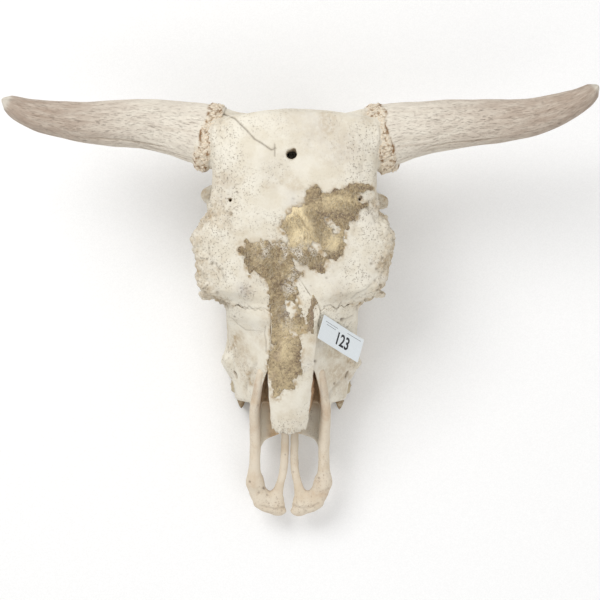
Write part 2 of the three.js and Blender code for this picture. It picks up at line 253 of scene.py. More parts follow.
def rod(path, across, high=None, pieces=12):
    # elliptic sections along a smooth path: distance from the nearest place on each straight piece of it
    p = smoothPath(path, pieces + 1)
    t = np.linspace(0, 1, pieces + 1)
    a, b = over(t, across), over(t, across if high is None else high)
    widest = max(a.max(), b.max())

    def distance(x, y, z):
        best = np.inf
        for i in range(pieces):
            step = p[i + 1] - p[i]
            unit = step / np.linalg.norm(step)
            side = np.cross(unit, (0, 1, 0) if abs(unit[2]) > 0.8 else (0, 0, 1))
            side /= np.linalg.norm(side)
            up = np.cross(side, unit)
            q = [x - p[i][0], y - p[i][1], z - p[i][2]]
            h = np.clip(sum(q[k] * step[k] for k in range(3)) / float(step @ step), 0, 1)
            q = [q[k] - h * step[k] for k in range(3)]
            ra, rb = a[i] + (a[i + 1] - a[i]) * h, b[i] + (b[i + 1] - b[i]) * h
            qa, qb, qt = (sum(q[k] * way[k] for k in range(3)) for way in (side, up, unit))
            s = np.sqrt((qa / ra) ** 2 + (qb / rb) ** 2 + (qt / np.minimum(ra, rb)) ** 2) + clayLimit["tiny"]
            r = np.sqrt(q[0] ** 2 + q[1] ** 2 + q[2] ** 2)
            best = np.minimum(best, r - r / s)
        return best
    return tuple(p.min(0) - widest), tuple(p.max(0) + widest), distance


def egg(centre, half):
    # an ellipsoid: radial distance r - r/s, s being the share of the outline reached
    def distance(x, y, z):
        q = [x - centre[0], y - centre[1], z - centre[2]]
        s = np.sqrt(sum((q[k] / half[k]) ** 2 for k in range(3))) + clayLimit["tiny"]
        r = np.sqrt(q[0] ** 2 + q[1] ** 2 + q[2] ** 2)
        return r - r / s
    return tuple(np.subtract(centre, half)), tuple(np.add(centre, half)), distance


def bothSides(make):
    return [make(1), make(-1)]


# the skull's masses

skull = {
    "pollY": 199, "orbitCentre": (98, 36, 112), "orbitRadius": 30, "crownHeight": 22,
    "boltHole": (-3.7, 150.7), "boltRadii": (5.6, 4.8), "boneStep": 1.15,
}

skullTop = through((200, 180), (194, 189), (184, 193), (160, 195), (120, 191), (80, 182), (40, 169), (0, 155),
                   (-50, 130))
nasalTop = through((34, 166.6), (0, 156), (-40, 143), (-80, 127), (-110, 111), (-134, 97), (-146, 90))
nasalDrop = through((32, 0.4), (0, 1.8), (-30, 3.2), (-60, 4.6), (-90, 6))
nasalSide = {
    1: through((30, 2), (18, 10), (4, 20), (-8, 28.5), (-26, 27.5), (-50, 26.5), (-84, 23.3), (-107, 21.5),
               (-135, 18.7), (-142, 17.6), (-147, 15.5)),
    -1: through((30, 2), (18, 12), (4, 20), (-8, 22.5), (-26, 21.5), (-50, 22.7), (-84, 24.4), (-107, 22.5),
                (-135, 19.9), (-142, 18.8), (-147, 16.5)),
}
rimWidth = through((200, 72), (190, 84), (170, 86), (125, 86), (98, 88.5), (88, 92.5), (80, 98.5),
                   (71, 106.5), (58, 107.5), (45, 103), (32, 100), (22, 99), (14, 97), (8, 90), (3, 78),
                   (-3, 69), (-10, 62), (-16, 54), (-26, 42), (-50, 28))


def nasalWidth(side, y):
    return np.where(side > 0, nasalSide[1](y), nasalSide[-1](y))


def forehead():
    return mass(
        (-50, skull["pollY"]), rimWidth, skullTop,
        edge=through((200, 160), (170, 166), (120, 164), (80, 150), (60, 143), (30, 140), (0, 128),
                     (-50, 110)),
        bottom=through((200, 138), (150, 146), (100, 142), (60, 134), (30, 130), (0, 112), (-50, 100)),
        above=3, below=2.6, bow=through((200, 17), (172, 6), (150, 0)), endSoft=9)


def braincase():
    return mass((34, 190), through((190, 66), (165, 63), (140, 58), (110, 54), (80, 46), (50, 36), (34, 30)),
                top=level(165), edge=level(112), above=2.6, endSoft=10,
                bottom=through((188, 70), (150, 58), (110, 60), (80, 66), (50, 72), (34, 80)))


def napePlate():
    # the plate that faces back, wide at the ears and narrow at the condyles
    def distance(x, y, z):
        reach = 62 + 24 * ramp(z, 62, 135)
        flat = np.maximum(np.abs(x) - reach, np.maximum(52 - z, z - 186))
        thick = np.abs(y - 175 - 0.02 * np.abs(x) + 6 * (x / 80) ** 2) - 14
        return smoothUpper(flat, thick, 12)
    return (-90, 155, 50), (90, 200, 190), distance


def occiput():
    # nape plate, base of the skull, ligament knob and nape crest, then on both sides: condyle, the process
    # beside it, ear drum, its spine and the ear passage
    parts = [napePlate(), rod([(0, 186, 62), (0, 120, 60), (0, 58, 72)], (29, 15), (15, 12)),
             egg((0, 189, 148), (14, 8, 14)), rod([(0, 188, 142), (0, 184, 116)], 4, pieces=2),
             rod([(-72, 173, 148), (-40, 183, 162), (0, 187, 168), (40, 183, 162), (72, 173, 148)], 6.5,
                 pieces=10)]
    for make in (
        lambda s: rod([(s * 21, 193, 78), (s * 27, 188, 64), (s * 27, 174, 52)], (12, 13), (15, 13),
                      pieces=4),
        lambda s: rod([(s * 57, 174, 96), (s * 53, 166, 50), (s * 46, 157, 4)], (9, 5), (18, 8)),
        lambda s: egg((s * 39, 124, 50), (11, 17, 21)),
        lambda s: rod([(s * 39, 114, 46), (s * 37, 98, 20)], 3.4, (7, 2.6), pieces=5),
        lambda s: rod([(s * 44, 131, 84), (s * 76, 134, 94)], (10, 7.5), pieces=4),
    ):
        parts += bothSides(make)
    return parts


def cheekArch(s):
    # the arch, its joint for the lower jaw, the bars behind and in front of the eye, and the ring round it
    jointY = 111 - 4 * s
    ring = []
    for turn in np.linspace(0, 2 * math.pi, 13):
        y = 37 + 30 * math.cos(turn)
        ring.append((s * (rimWidth(y) - 7 + 2 * math.sin(turn)), y, 112 + 31 * math.sin(turn)))
    return [
        rod([(s * 54, jointY + 16, 96), (s * 78, jointY + 9, 90), (s * 90, jointY, 83), (s * 84, 97, 85),
             (s * 87, 84, 90), (s * 93, 68, 92), (s * 96, 52, 84), (s * 94, 34, 78), (s * 85, 16, 82),
             (s * 66, -2, 84)],
            lambda t: 5.2 + 2.4 * np.sin(3 * t), lambda t: 8 + 3 * ramp(t, 0.4, 0.9), pieces=26),
        egg((s * 90, jointY, 80), (11.5, 9, 7)), egg((s * 93, 11, 112), (10 if s > 0 else 7.5, 9, 9)),
        rod([(s * 94, 78, 150), (s * 96, 73, 120), (s * 93, 68, 92)], 6, (10, 7.5), pieces=8),
        rod([(s * 86, 16, 140), (s * 83, 11, 112), (s * 77, 9, 88)], 7, (8, 7), pieces=6),
        rod(ring, 4.2, 5, pieces=30),
    ]


def orbitHollow(s):
    x, y, z = skull["orbitCentre"]
    return rod([(s * (x + 30), y - 3, z + 2), (s * x, y, z), (s * 76, y + 8, z), (s * 50, y + 24, z - 6)],
               (skull["orbitRadius"] + 3, 13), pieces=8)


def faceCore():
    return mass((-24, 78), through((78, 40), (45, 42), (22, 54), (0, 68), (-24, 70)), level(150), level(96),
                through((78, 70), (40, 62), (12, 44), (-24, 34)), above=3, below=3)


faceLean = through((-132, 1.42), (-62, 1.36), (-40, 1.2), (-20, 0.86), (0, 0.6), (16, 0.5))


def faceSlope(x, y, z):
    # the slanting side of the face: z = 140 - lean(y) (|x| - 27) + 0.433 (y + 40), lifted away behind y = 0
    lean = faceLean(y)
    return ((z - 140 + lean * (np.abs(x) - 27) - 0.433 * (y + 40) - 70 * ramp(y, -4, 34))
            / np.sqrt(1.2 + lean**2))


def cheeks():
    # the upper jaws, flattened from the edge of the nasal bones down to the facial crest
    low, high, body = mass(
        (-114.5, 16),
        through((16, 66), (0, 70), (-20, 70.5), (-45, 69), (-68, 68.5), (-85, 65), (-100, 62.5), (-117, 61)),
        top=through((16, 153), (-20, 148), (-60, 133), (-100, 112), (-132, 94)),
        bow=through((16, 0), (-70, 0), (-114, -4.5)),
        edge=through((16, 92), (-20, 88), (-68, 62), (-100, 42), (-132, 38)),
        bottom=level(skull["crownHeight"] - 3), above=2, below=4, endSoft=5)

    def distance(x, y, z):
        waist = (np.abs(x) - 66 - 5 * ramp(np.abs(z - 26), 6, 30)) * 0.9
        return smoothUpper(smoothUpper(body(x, y, z), faceSlope(x, y, z), 9), waist, 5)
    return low, high, distance


def cheekKnob(s):
    return [rod([(s * 64, -56, 66), (s * 69.5, -67, 60), (s * 63, -80, 49)], (7.5, 6.5), (9, 7), pieces=6),
            rod([(s * 66, -62, 62), (s * 66, -36, 67), (s * 67, -6, 78), (s * 84, 10, 82)],
                4.2, (4.5, 8), pieces=10)]


def muzzleRoot():
    # the side walls of the nose, and the palate's front shelf with its edge hollowed towards the middle
    walls = bothSides(lambda s: rod([(s * 37.5, -88, 68), (s * 38, -122, 57), (s * 38, -160, 47)],
                                    6.2, (31, 11), pieces=8))
    low, high, plate = mass((-166, -96), through((-96, 44), (-130, 41), (-166, 37)),
                            level(36), level(32), level(27.5))

    def shelf(x, y, z):
        out = np.abs(x)
        return smoothUpper(plate(x, y, z), -147 - 12 * (out / 34) ** 1.6 - 16 * ramp(out, 24, 38) ** 2 - y, 3)
    return walls + [(low, high, shelf)]


def nasalHollow():
    return mass((-178, -34),
                through((-178, 33), (-120, 33.2), (-104, 32.2), (-85, 28), (-60, 21.5), (-34, 14)),
                through((-178, 140), (-128, 140), (-104, 128), (-80, 126), (-34, 128)), level(75),
                through((-178, 36), (-100, 37), (-34, 52)), above=6, below=2.1)


def nasalBed():
    # everything above the underside of the nasal bones, inside their outline
    def distance(x, y, z):
        w = nasalWidth(x, y) - 0.15
        floor = nasalTop(y) - 3.2 - nasalDrop(y) * np.minimum(np.abs(x) / w, 1) ** 2.2
        return np.maximum(np.maximum(np.abs(x) - w - 0.3 * ramp(-y, 8, 30), y - 30), floor - z)
    return (-30, -150, 80), (30, 32, 175), distance


def palateVault():
    return mass((-134, 34), through((-134, 34), (-90, 39), (34, 44)),
                through((-134, 25), (-60, 31), (34, 36)), level(8), level(-30), endSoft=8)


def throatHollow():
    return mass((18, 96), level(16), through((18, 60), (96, 57)), level(40), level(-20))


def smallHoles():
    bx, by = skull["boltHole"]
    holes = [rod([(bx, by, 206), (bx + 1, by - 2, 150)], *skull["boltRadii"], pieces=2),
             rod([(bx + 2.6, by + 3.6, 202), (bx + 2.6, by + 3, 182)], 2.3, pieces=2),
             egg((bx + 1, by - 2, 160), (13, 14, 12))]
    for s in (1, -1):
        holes += [
            rod([(68.2 * s + 2.4, 108 + s, 200), (s * 66, 101, 165)], 1.9, pieces=2),  # above the eye
            rod([(s * 66, -86, 70), (s * 50, -74, 60)], 4.6, (3.6, 3), pieces=3),  # before the cheek knob
            rod([(s * 34, 92, 40), (s * 30, 84, 74)], 4.5, pieces=3),  # under the brain
            rod([(s * 30, 160, 40), (s * 20, 150, 70)], 3.6, pieces=3),  # beside the condyles
            rod([(s * 84, 137, 95), (s * 70, 134, 93)], 3.6, pieces=3),  # ear
            rod([(s * 20, -4, 20), (s * 20, 2, 46)], 3.4, pieces=3),  # palate
        ]
    return holes


def shapeHead(clay):
    # the solid masses first, then the bars and knobs on them, then the sockets, hollows and holes
    for form in [forehead(), braincase(), faceCore()]:
        clay.add(form, 8)
    clay.add(cheeks(), 5)
    for form in occiput():
        clay.add(form, 7)
    clay.keep(lambda x, y, z: faceSlope(x, y, z) + 0 * x, 7)
    for s in (1, -1):
        for form in cheekArch(s):
            clay.add(form, 6)
        for form in cheekKnob(s):
            clay.add(form, 7)
        clay.add(rod([(s * 24, 12, 48), (s * 22, 46, 46), (s * 20, 80, 60)], 2.6, (25, 15), pieces=6), 4)
        clay.add(hornRoot(s), 8)
    for form in muzzleRoot():
        clay.add(form, 4)
    for s in (1, -1):
        clay.carve(orbitHollow(s), 3)
    for s in (1, -1):
        clay.carve(egg((s * 36, 204, 122), (22, 13, 22)), 9)
    clay.carve(rod([(0, 220, 92), (0, 130, 94)], (19, 16), (18, 15), pieces=3), 3)
    for form in [palateVault(), throatHollow()]:
        clay.carve(form, 6)
    clay.carve(nasalHollow(), 3)
    for form in smallHoles():
        clay.carve(form, 0.8)
    clay.carve(nasalBed(), 0.5)
    clay.keep(lambda x, y, z: 0.2 - z + 0 * x)


def sutureWave(a, b, size=9.0, depth=2.2, seed=0):
    # a wandering offset for the seams between bones: a sine bent by noise
    warp = cloud(spots(a, b, 0 * a + 7.7), size * 1.4, seed + 50, 1)
    return depth * (0.6 * np.sin(a / size * 6.28 + 2.5 * warp) + 0.55 * warp)


def frontSeam(x, y, z):
    # above 0 on the braincase side of the slanting seam between forehead and upper jaws
    return (y + 8 + 0.32 * (z - 140) + 18 * ramp(np.abs(x), 72, 88)) / 1.05 + sutureWave(x, z)


def backSeam(x, y, z):
    # above 0 behind the seam that crosses the braincase
    return y - 104 - sutureWave(x, z, 12.0, 2.0, 21)


seamLevel = through((-60, 118), (50, 127), (75, 134), (105, 148), (206, 146))


def topSeam(x, y, z):
    # above 0 in the forehead plate, below 0 in the braincase and eye sockets
    return z - seamLevel(y) - sutureWave(y, x, 8.0, 1.6, 9)


horns = {
    1: {"path": [(66, 168, 150), (83.4, 171.4, 150), (112, 178.4, 150), (154, 184, 153), (205.6, 186.8, 162),
                 (246.5, 191.6, 170), (287, 205.2, 180), (308.8, 221.5, 186)],
        "base": (83.4, 171.2, 150), "burrEnd": 11.5},
    -1: {"path": [(-78, 168, 150), (-95, 172.8, 150), (-116, 178, 150), (-156, 184.7, 153),
                  (-197.6, 185.5, 159), (-238.5, 186.8, 167), (-279, 193.7, 176), (-308.5, 207.6, 185)],
         "base": (-95, 172.4, 150), "burrEnd": 9.5},
}
hornRadius = through((0, 34.5), (0.09, 33.2), (0.2, 29.4), (0.35, 26.1), (0.55, 22.6), (0.75, 18.2),
                     (0.88, 14.0), (0.95, 10.2), (1, 5.2))


def hornRoot(s):
    path = [np.array(p, float) - (midline(p[1]), 0, 0) for p in horns[s]["path"][:2]]
    return rod([path[0] - (s * 26, 4, 0), path[0], path[1]], (30, 34), (26, 32), pieces=3)


# meshes

def skinNormals(points, faces):
    # each point's normal: the sum of the cross products of its faces' diagonals
    n = np.cross(points[faces[:, 2]] - points[faces[:, 0]], points[faces[:, 3]] - points[faces[:, 1]])
    total = np.stack([sum(np.bincount(faces[:, k], n[:, c], len(points)) for k in range(4))
                      for c in range(3)], 1)
    return total / np.maximum(np.linalg.norm(total, axis=1, keepdims=True), 1e-9)


def linked(name, data):
    piece = bpy.data.objects.new(name, data)
    bpy.context.collection.objects.link(piece)
    return piece


def addMasks(mesh, masks):
    for key, values in masks.items():
        layer = mesh.attributes.new(key, "FLOAT", "POINT")
        layer.data.foreach_set("value", np.clip(values, 0, 1).astype(np.float32).ravel())


def setUv(mesh, label, uv, corners):
    mesh.uv_layers.new(name=label).data.foreach_set("uv", uv[corners].astype(np.float32).ravel())


def meshPoints(mesh):
    co = np.empty(len(mesh.vertices) * 3)
    mesh.vertices.foreach_get("co", co)
    return co.reshape(-1, 3)


def makeMesh(name, points, faces, look, masks, smooth=True):
    # points in skull millimetres, kept above the floor, and faces as rows of indices
    mesh = bpy.data.meshes.new(name)
    mesh.vertices.add(len(points))
    raised = np.column_stack([points[:, :2], np.maximum(points[:, 2], 0)])
    mesh.vertices.foreach_set("co", toWorld(raised).astype(np.float32).ravel())
    mesh.loops.add(faces.size)
    mesh.loops.foreach_set("vertex_index", faces.astype(np.int32).ravel())
    mesh.polygons.add(len(faces))
    mesh.polygons.foreach_set("loop_start", np.arange(0, faces.size, faces.shape[1], dtype=np.int32))
    mesh.polygons.foreach_set("use_smooth", np.full(len(faces), smooth))
    mesh.update(calc_edges=True)
    mesh.validate()
    addMasks(mesh, masks)
    mesh.materials.append(look)
    return linked(name, mesh)


def listMesh(name, points, faces, look):
    # the same for faces of different sizes
    mesh = bpy.data.meshes.new(name)
    mesh.from_pydata(toWorld(points).tolist(), [], faces)
    mesh.polygons.foreach_set("use_smooth", np.full(len(mesh.polygons), True))
    mesh.materials.append(look)
    return linked(name, mesh)


def gridQuads(n, m, closed=False):
    # faces of n rows of m points, each row closed to a ring or left open
    i, j = np.meshgrid(np.arange(n - 1), np.arange(m if closed else m - 1), indexing="ij")
    k = (j + 1) % m
    return np.stack([i * m + j, (i + 1) * m + j, (i + 1) * m + k, i * m + k], -1).reshape(-1, 4)


def tubeMesh(name, grid, look, masks=None, uv=None):
    # a closed tube from rings of points, with a fan to the middle of each end; masks and uv are per point
    n, m = grid.shape[:2]
    ring = np.arange(m)
    following = (ring + 1) % m
    first = np.stack([np.full(m, n * m), ring, following], 1)
    last = np.stack([np.full(m, n * m + 1), (n - 1) * m + following, (n - 1) * m + ring], 1)
    quads, fans = gridQuads(n, m, closed=True), np.vstack([first, last])

    def withEnds(values):
        ends = [values[k].mean(0).reshape(1, -1) for k in (0, -1)]
        return np.concatenate([values.reshape(n * m, -1), *ends])
    piece = listMesh(name, withEnds(grid), quads.tolist() + fans.tolist(), look)
    mesh = piece.data
    addMasks(mesh, {key: withEnds(values) for key, values in (masks or {}).items()})
    if uv is not None:
        setUv(mesh, "UVMap", withEnds(uv), np.concatenate([quads.ravel(), fans.ravel()]))
    turnOutward(mesh)
    return piece


def turnOutward(mesh):
    # flips the whole surface if its signed volume is negative
    co = meshPoints(mesh)
    mesh.calc_loop_triangles()
    tri = np.empty(len(mesh.loop_triangles) * 3, int)
    mesh.loop_triangles.foreach_get("vertices", tri)
    a, b, c = (co[tri.reshape(-1, 3)[:, k]] for k in range(3))
    if (np.cross(a, b) * c).sum() < 0:
        mesh.flip_normals()


def sheetFaces(quads, count):
    # a sheet with thickness: the upper faces, the same turned over for the lower points, and walls along
    # the rim
    edges = np.concatenate([quads[:, [k, (k + 1) % 4]] for k in range(4)])
    rim = edges[~np.isin(edges[:, 0] * count + edges[:, 1], edges[:, 1] * count + edges[:, 0])]
    walls = np.stack([rim[:, 1], rim[:, 0], rim[:, 0] + count, rim[:, 1] + count], 1)
    return np.concatenate([quads, quads[:, ::-1] + count, walls])


def attach(piece, slot, *nodes):
    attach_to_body(piece, "root")
    if nodes:
        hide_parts(*nodes)
    return piece


# small marks on the bone, in plan places read where the eye's line meets the level place["markLevel"]

crack = [
    (-83.7, 198.0), (-69.0, 191.6), (-62.7, 185.3), (-56.3, 179.0), (-47.9, 169.5), (-40.5, 165.3),
    (-30.0, 157.9), (-25.8, 160.1),
]
grooves = [  # places, half width, depth, darkness
    (crack, 0.8, 1.3, 0.8),
    ([(-26.9, 164.3), (-26.3, 157.9), (-26.9, 151.6)], 0.7, 0.8, 0.6),
    ([(-73.2, 109.5), (-76.3, 120.0), (-73.2, 134.8), (-77.4, 147.4)], 2.2, 0.6, 0.04),
    ([(64.8, 110.6), (67.9, 122.1), (63.7, 134.8), (67.9, 149.5)], 2.2, 0.6, 0.04),
    ([(-73.2, 102.1), (-74.2, 92.7), (-71.1, 84.2), (-73.2, 75.8)], 1.8, 0.8, 0.12),
    ([(64.8, 103.2), (63.7, 90.6), (59.5, 77.9), (54.2, 65.3)], 1.8, 0.7, 0.06),
    ([(-74.2, 91.6), (-77.4, 82.1), (-80.6, 75.8)], 1.0, 0.8, 0.2),
    ([(-63.7, -5.3), (-57.4, -9.5), (-53.2, -6.3), (-46.9, -10.5), (-40.5, -7.4)], 0.6, 0.6, 0.5),
    ([(25.5, -6.9), (32.5, -5.2), (38.6, -10.0), (43.8, -1.7)], 0.6, 0.7, 0.55),
    ([(43.7, -20.4), (50.0, -19.0), (55.3, -16.5)], 0.9, 0.7, 0.4),
    ([(-36.3, -27.4), (-37.4, -35.8), (-35.8, -44.2), (-36.3, -54.8)], 0.6, 0.6, 0.45),
    ([(-31.1, -28.4), (-30.0, -37.9), (-30.5, -52.6), (-32.1, -65.3)], 0.6, 0.6, 0.4),
    ([(18.4, -24.2), (21.2, -31.6), (20.5, -39.0)], 0.6, 0.6, 0.4),
    ([(-47.3, -68.0), (-52.1, -75.8), (-54.8, -84.2), (-57.4, -93.4)], 1.8, 1.1, 0.2),
    ([(41.6, -86.3), (37.4, -90.6), (32.1, -96.9), (31.1, -102.1)], 1.4, 0.9, 0.25),
    ([(-72.1, -19.0), (-65.8, -25.3), (-57.4, -31.6), (-40.5, -32.6)], 0.5, 0.45, 0.35),
    ([(54.2, -23.2), (49.0, -29.5), (39.5, -34.7)], 0.5, 0.45, 0.35),
    ([(54.2, 1.1), (60.5, 7.4), (69.0, 10.5), (75.3, 16.8)], 0.8, 0.8, 0.35),
    ([(-40.5, -216.9), (-34.2, -218.0), (-25.8, -220.1), (-17.4, -218.0)], 1.0, 0.8, 0.3),
    ([(-6.8, -215.9), (1.6, -219.0), (12.1, -218.0), (19.5, -213.8)], 1.0, 0.8, 0.3),
    ([(-90.0, 3.2), (-82.7, -1.1), (-74.2, -3.2)], 1.0, 1.0, 0.4),
    ([(69.0, 100.0), (75.3, 91.6), (79.5, 82.1)], 1.2, 1.0, 0.3),
    ([(-96.3, 52.6), (-91.1, 40.0), (-82.7, 31.6), (-78.4, 19.0)], 0.9, 0.8, 0.3),
]
pits = [  # place, radius, depth, darkness
    ((43.7, -20.4), 2.0, 2.2, 0.9), ((-37.4, -198.0), 1.6, 1.2, 0.7), ((-34.2, -205.3), 1.2, 0.9, 0.5),
    ((-92.1, 3.2), 2.2, 2.0, 0.6), ((-98.5, 9.5), 1.6, 1.6, 0.6), ((-86.9, 7.4), 1.6, 1.4, 0.5),
    ((-99.5, 13.7), 1.4, 1.2, 0.5), ((81.6, 9.5), 2.2, 2.2, 0.8), ((85.8, 14.7), 1.5, 1.5, 0.6),
    ((75.3, 3.2), 1.6, 1.4, 0.5), ((79.5, 20.0), 1.4, 1.2, 0.5), ((-92.1, 39.0), 1.4, 1.4, 0.7),
    ((-87.9, 38.4), 1.3, 1.3, 0.7), ((-97.4, 43.2), 1.3, 1.2, 0.6), ((27.9, 23.2), 1.1, 1.0, 0.6),
    ((11.1, 14.7), 0.8, 0.7, 0.5), ((75.3, 37.9), 1.6, 1.6, 0.6), ((80.6, 32.6), 1.5, 1.5, 0.6),
    ((86.9, 44.2), 1.5, 1.3, 0.6), ((73.2, 24.2), 1.3, 1.2, 0.5), ((15.9, -64.5), 1.3, 1.4, 0.8),
    ((-69.0, -17.9), 1.2, 1.0, 0.6), ((37.4, -19.0), 1.0, 0.9, 0.5), ((39.5, -23.2), 0.9, 0.8, 0.5),
    ((36.3, -87.9), 1.5, 1.4, 0.7), ((-56.3, 11.6), 1.3, 0.9, 0.5), ((-53.2, 6.3), 1.1, 0.9, 0.5),
    ((-58.4, 3.2), 1.0, 0.8, 0.4), ((-52.1, 13.7), 0.9, 0.7, 0.4), ((-15.4, -162.7), 0.9, 0.9, 0.6),
    ((-7.5, -181.4), 0.9, 0.9, 0.6), ((-53.2, -191.6), 1.2, 1.2, 0.7), ((19.5, -187.4), 1.1, 1.1, 0.7),
    ((-43.2, -203.2), 1.4, 0.9, 0.5), ((-73.2, 89.5), 1.6, 1.1, 0.5), ((-76.9, 93.2), 0.9, 0.9, 0.7),
    ((-72.7, 91.1), 1.5, 1.4, 0.6), ((-78.4, 88.5), 0.7, 0.7, 0.5), ((-75.3, 83.2), 0.7, 0.7, 0.5),
    ((-7.9, 174.3), 0.7, 0.6, 0.4), ((26.9, 170.6), 0.7, 0.6, 0.3), ((-60.5, 44.2), 0.8, 0.8, 0.4),
    ((-92.7, 37.9), 1.6, 1.6, 0.7), ((64.5, 107.8), 1.5, 2.6, 0.95), ((-6.8, 106.4), 1.0, 0.7, 0.45),
    ((-1.6, 108.5), 0.8, 0.6, 0.4), ((-3.7, 102.1), 0.8, 0.6, 0.35),
]
swellings = [  # place, radius, height
    ((-49.0, -16.8), 11, 2.6), ((38.4, -15.8), 9, 1.2), ((-78.4, -63.2), 6, 2.2), ((63.7, -67.4), 6, 2.2),
    ((-72.1, 157.9), 22, 1.4), ((59.5, 157.9), 22, 1.4), ((-92.1, 40.0), 9, 0.9), ((82.7, 40.0), 9, 0.9),
    ((-9.0, 184.3), 26, 1.2), ((-9.0, 115.8), 40, -2.2), ((-9.0, 71.6), 30, -1.2), ((-97.4, 110.6), 7, 3.2),
    ((87.9, 103.2), 7, 3.2),
]
patches = [  # place, radius, strength of brown stain, or of painted shade for the two entries noted below
    ((-67.9, -43.2), 8, 0.75), ((36.9, -56.3), 7, 0.7), ((69.0, 97.9), 4, 0.45), ((-73.2, 89.5), 4, 0.5),
    ((-56.3, 8.4), 8, 0.45), ((39.5, -88.5), 4, 0.5), ((-67.9, -40.0), 5, 1.0), ((-71.1, -48.4), 5, 0.9),
    ((-54.8, -77.9), 3.6, 1.0), ((-51.1, -87.4), 4.2, 1.0), ((-54.2, -83.2), 3.4, 0.9),
    # the entry (52.1, -64.2) on the next line is a painted shadow of the card's lower edge on the cheek
    ((37.4, -51.6), 4.5, 1.0), ((39.5, -60.0), 3, 0.9), ((52.1, -64.2), 5, 1.0), ((89.0, 107.4), 6, 1.0),
    ((69.0, 99.0), 4.5, 0.9), ((-98.5, 111.6), 8, 0.7), ((-73.2, 90.6), 3, 0.8), ((-62.7, 60.0), 4, 0.5),
    ((-107.9, 40.0), 8, 0.6), ((95.3, 44.2), 9, 0.9), ((92.1, 56.9), 7, 0.6), ((81.6, 7.4), 5, 0.8),
    ((13.2, -42.1), 6, 0.6), ((9.0, -54.8), 7, 0.35), ((-40.5, -42.1), 9, 0.35), ((-91.1, 131.6), 8, 0.35),
    ((85.8, 128.5), 8, 0.35), ((-82.7, 191.6), 10, 0.45), ((71.1, 191.6), 10, 0.4),
    ((-9.0, 198.0), 18, 0.2), ((41.6, -110.6), 5, 0.6), ((-63.7, -107.4), 4, 0.6), ((18.4, -31.6), 8, 0.3),
    ((-51.1, -193.8), 5, 0.3), ((18.4, -191.6), 5, 0.3), ((-99.5, 67.4), 10, 0.25), ((90.0, 67.4), 10, 0.3),
    ((41.6, 2.1), 9, 0.3), ((90.0, 40.0), 11, 0.95), ((85.8, 10.5), 10, 0.65), ((-102.7, 40.0), 9, 0.6),
    # the entry (41.6, -77.9) on the next line is painted shade on the cheek below the card
    ((-98.5, 10.5), 10, 0.6), ((41.6, -77.9), 17, 0.65), ((50.0, -96.9), 12, 0.4),
    ((20.5, 176.9), 26, 0.18), ((46.9, 157.9), 28, 0.22), ((-107.9, 63.2), 8, 0.5), ((94.2, 63.2), 8, 0.5),
    ((-76.3, 92.7), 8, 0.3), ((-11.1, -126.4), 14, 0.2), ((27.9, -52.6), 12, 0.3), ((-93.2, 110.6), 6, 0.4),
    ((85.8, 102.1), 6, 0.5),
]
poreFields = [  # place, radius
    ((-86.9, 71.6), 24), ((-99.5, 52.6), 18), ((77.4, 67.4), 21), ((87.9, 47.4), 16), ((-82.7, 147.4), 26),
    ((73.2, 142.2), 24), ((-56.3, 8.4), 12), ((-72.1, -57.9), 12), ((57.4, -61.1), 12),
    ((-63.7, -126.4), 14), ((46.9, -126.4), 14), ((-26.9, -219.0), 16), ((5.8, -219.0), 16),
    ((-82.7, 173.7), 20), ((67.9, 168.5), 22), ((-76.3, 115.8), 20), ((64.8, 126.4), 20),
    ((-79.5, 89.5), 22), ((75.3, 92.7), 20), ((57.4, 26.3), 18), ((-79.5, 26.3), 18),
]
coolPatches = [  # place, radius, strength of the grey-lilac weathering
    ((20.5, 181.1), 24, 0.5), ((46.9, 160.1), 24, 0.5), ((64.8, 134.8), 12, 0.3), ((-58.4, 10.5), 7, 1.0),
    ((0.5, -136.9), 14, 0.15), ((22.6, -47.4), 8, 0.5), ((-80.6, 126.4), 14, 0.35),
    ((-4.7, 198.0), 20, 0.3), ((-5.8, 105.3), 10, 0.5), ((9.0, -68.4), 9, 0.5), ((-0.5, 26.3), 8, 0.5),
    ((75.3, 94.8), 10, 0.4), ((41.6, 10.5), 12, 0.35), ((54.2, -82.1), 12, 0.5), ((20.5, -96.9), 10, 0.4),
    ((-26.9, 136.9), 20, 0.25),
]
bleached = [  # place, radius
    ((-49.0, -19.0), 13), ((77.4, 142.2), 10), ((75.3, 56.9), 12), ((-40.5, 71.6), 12),
]

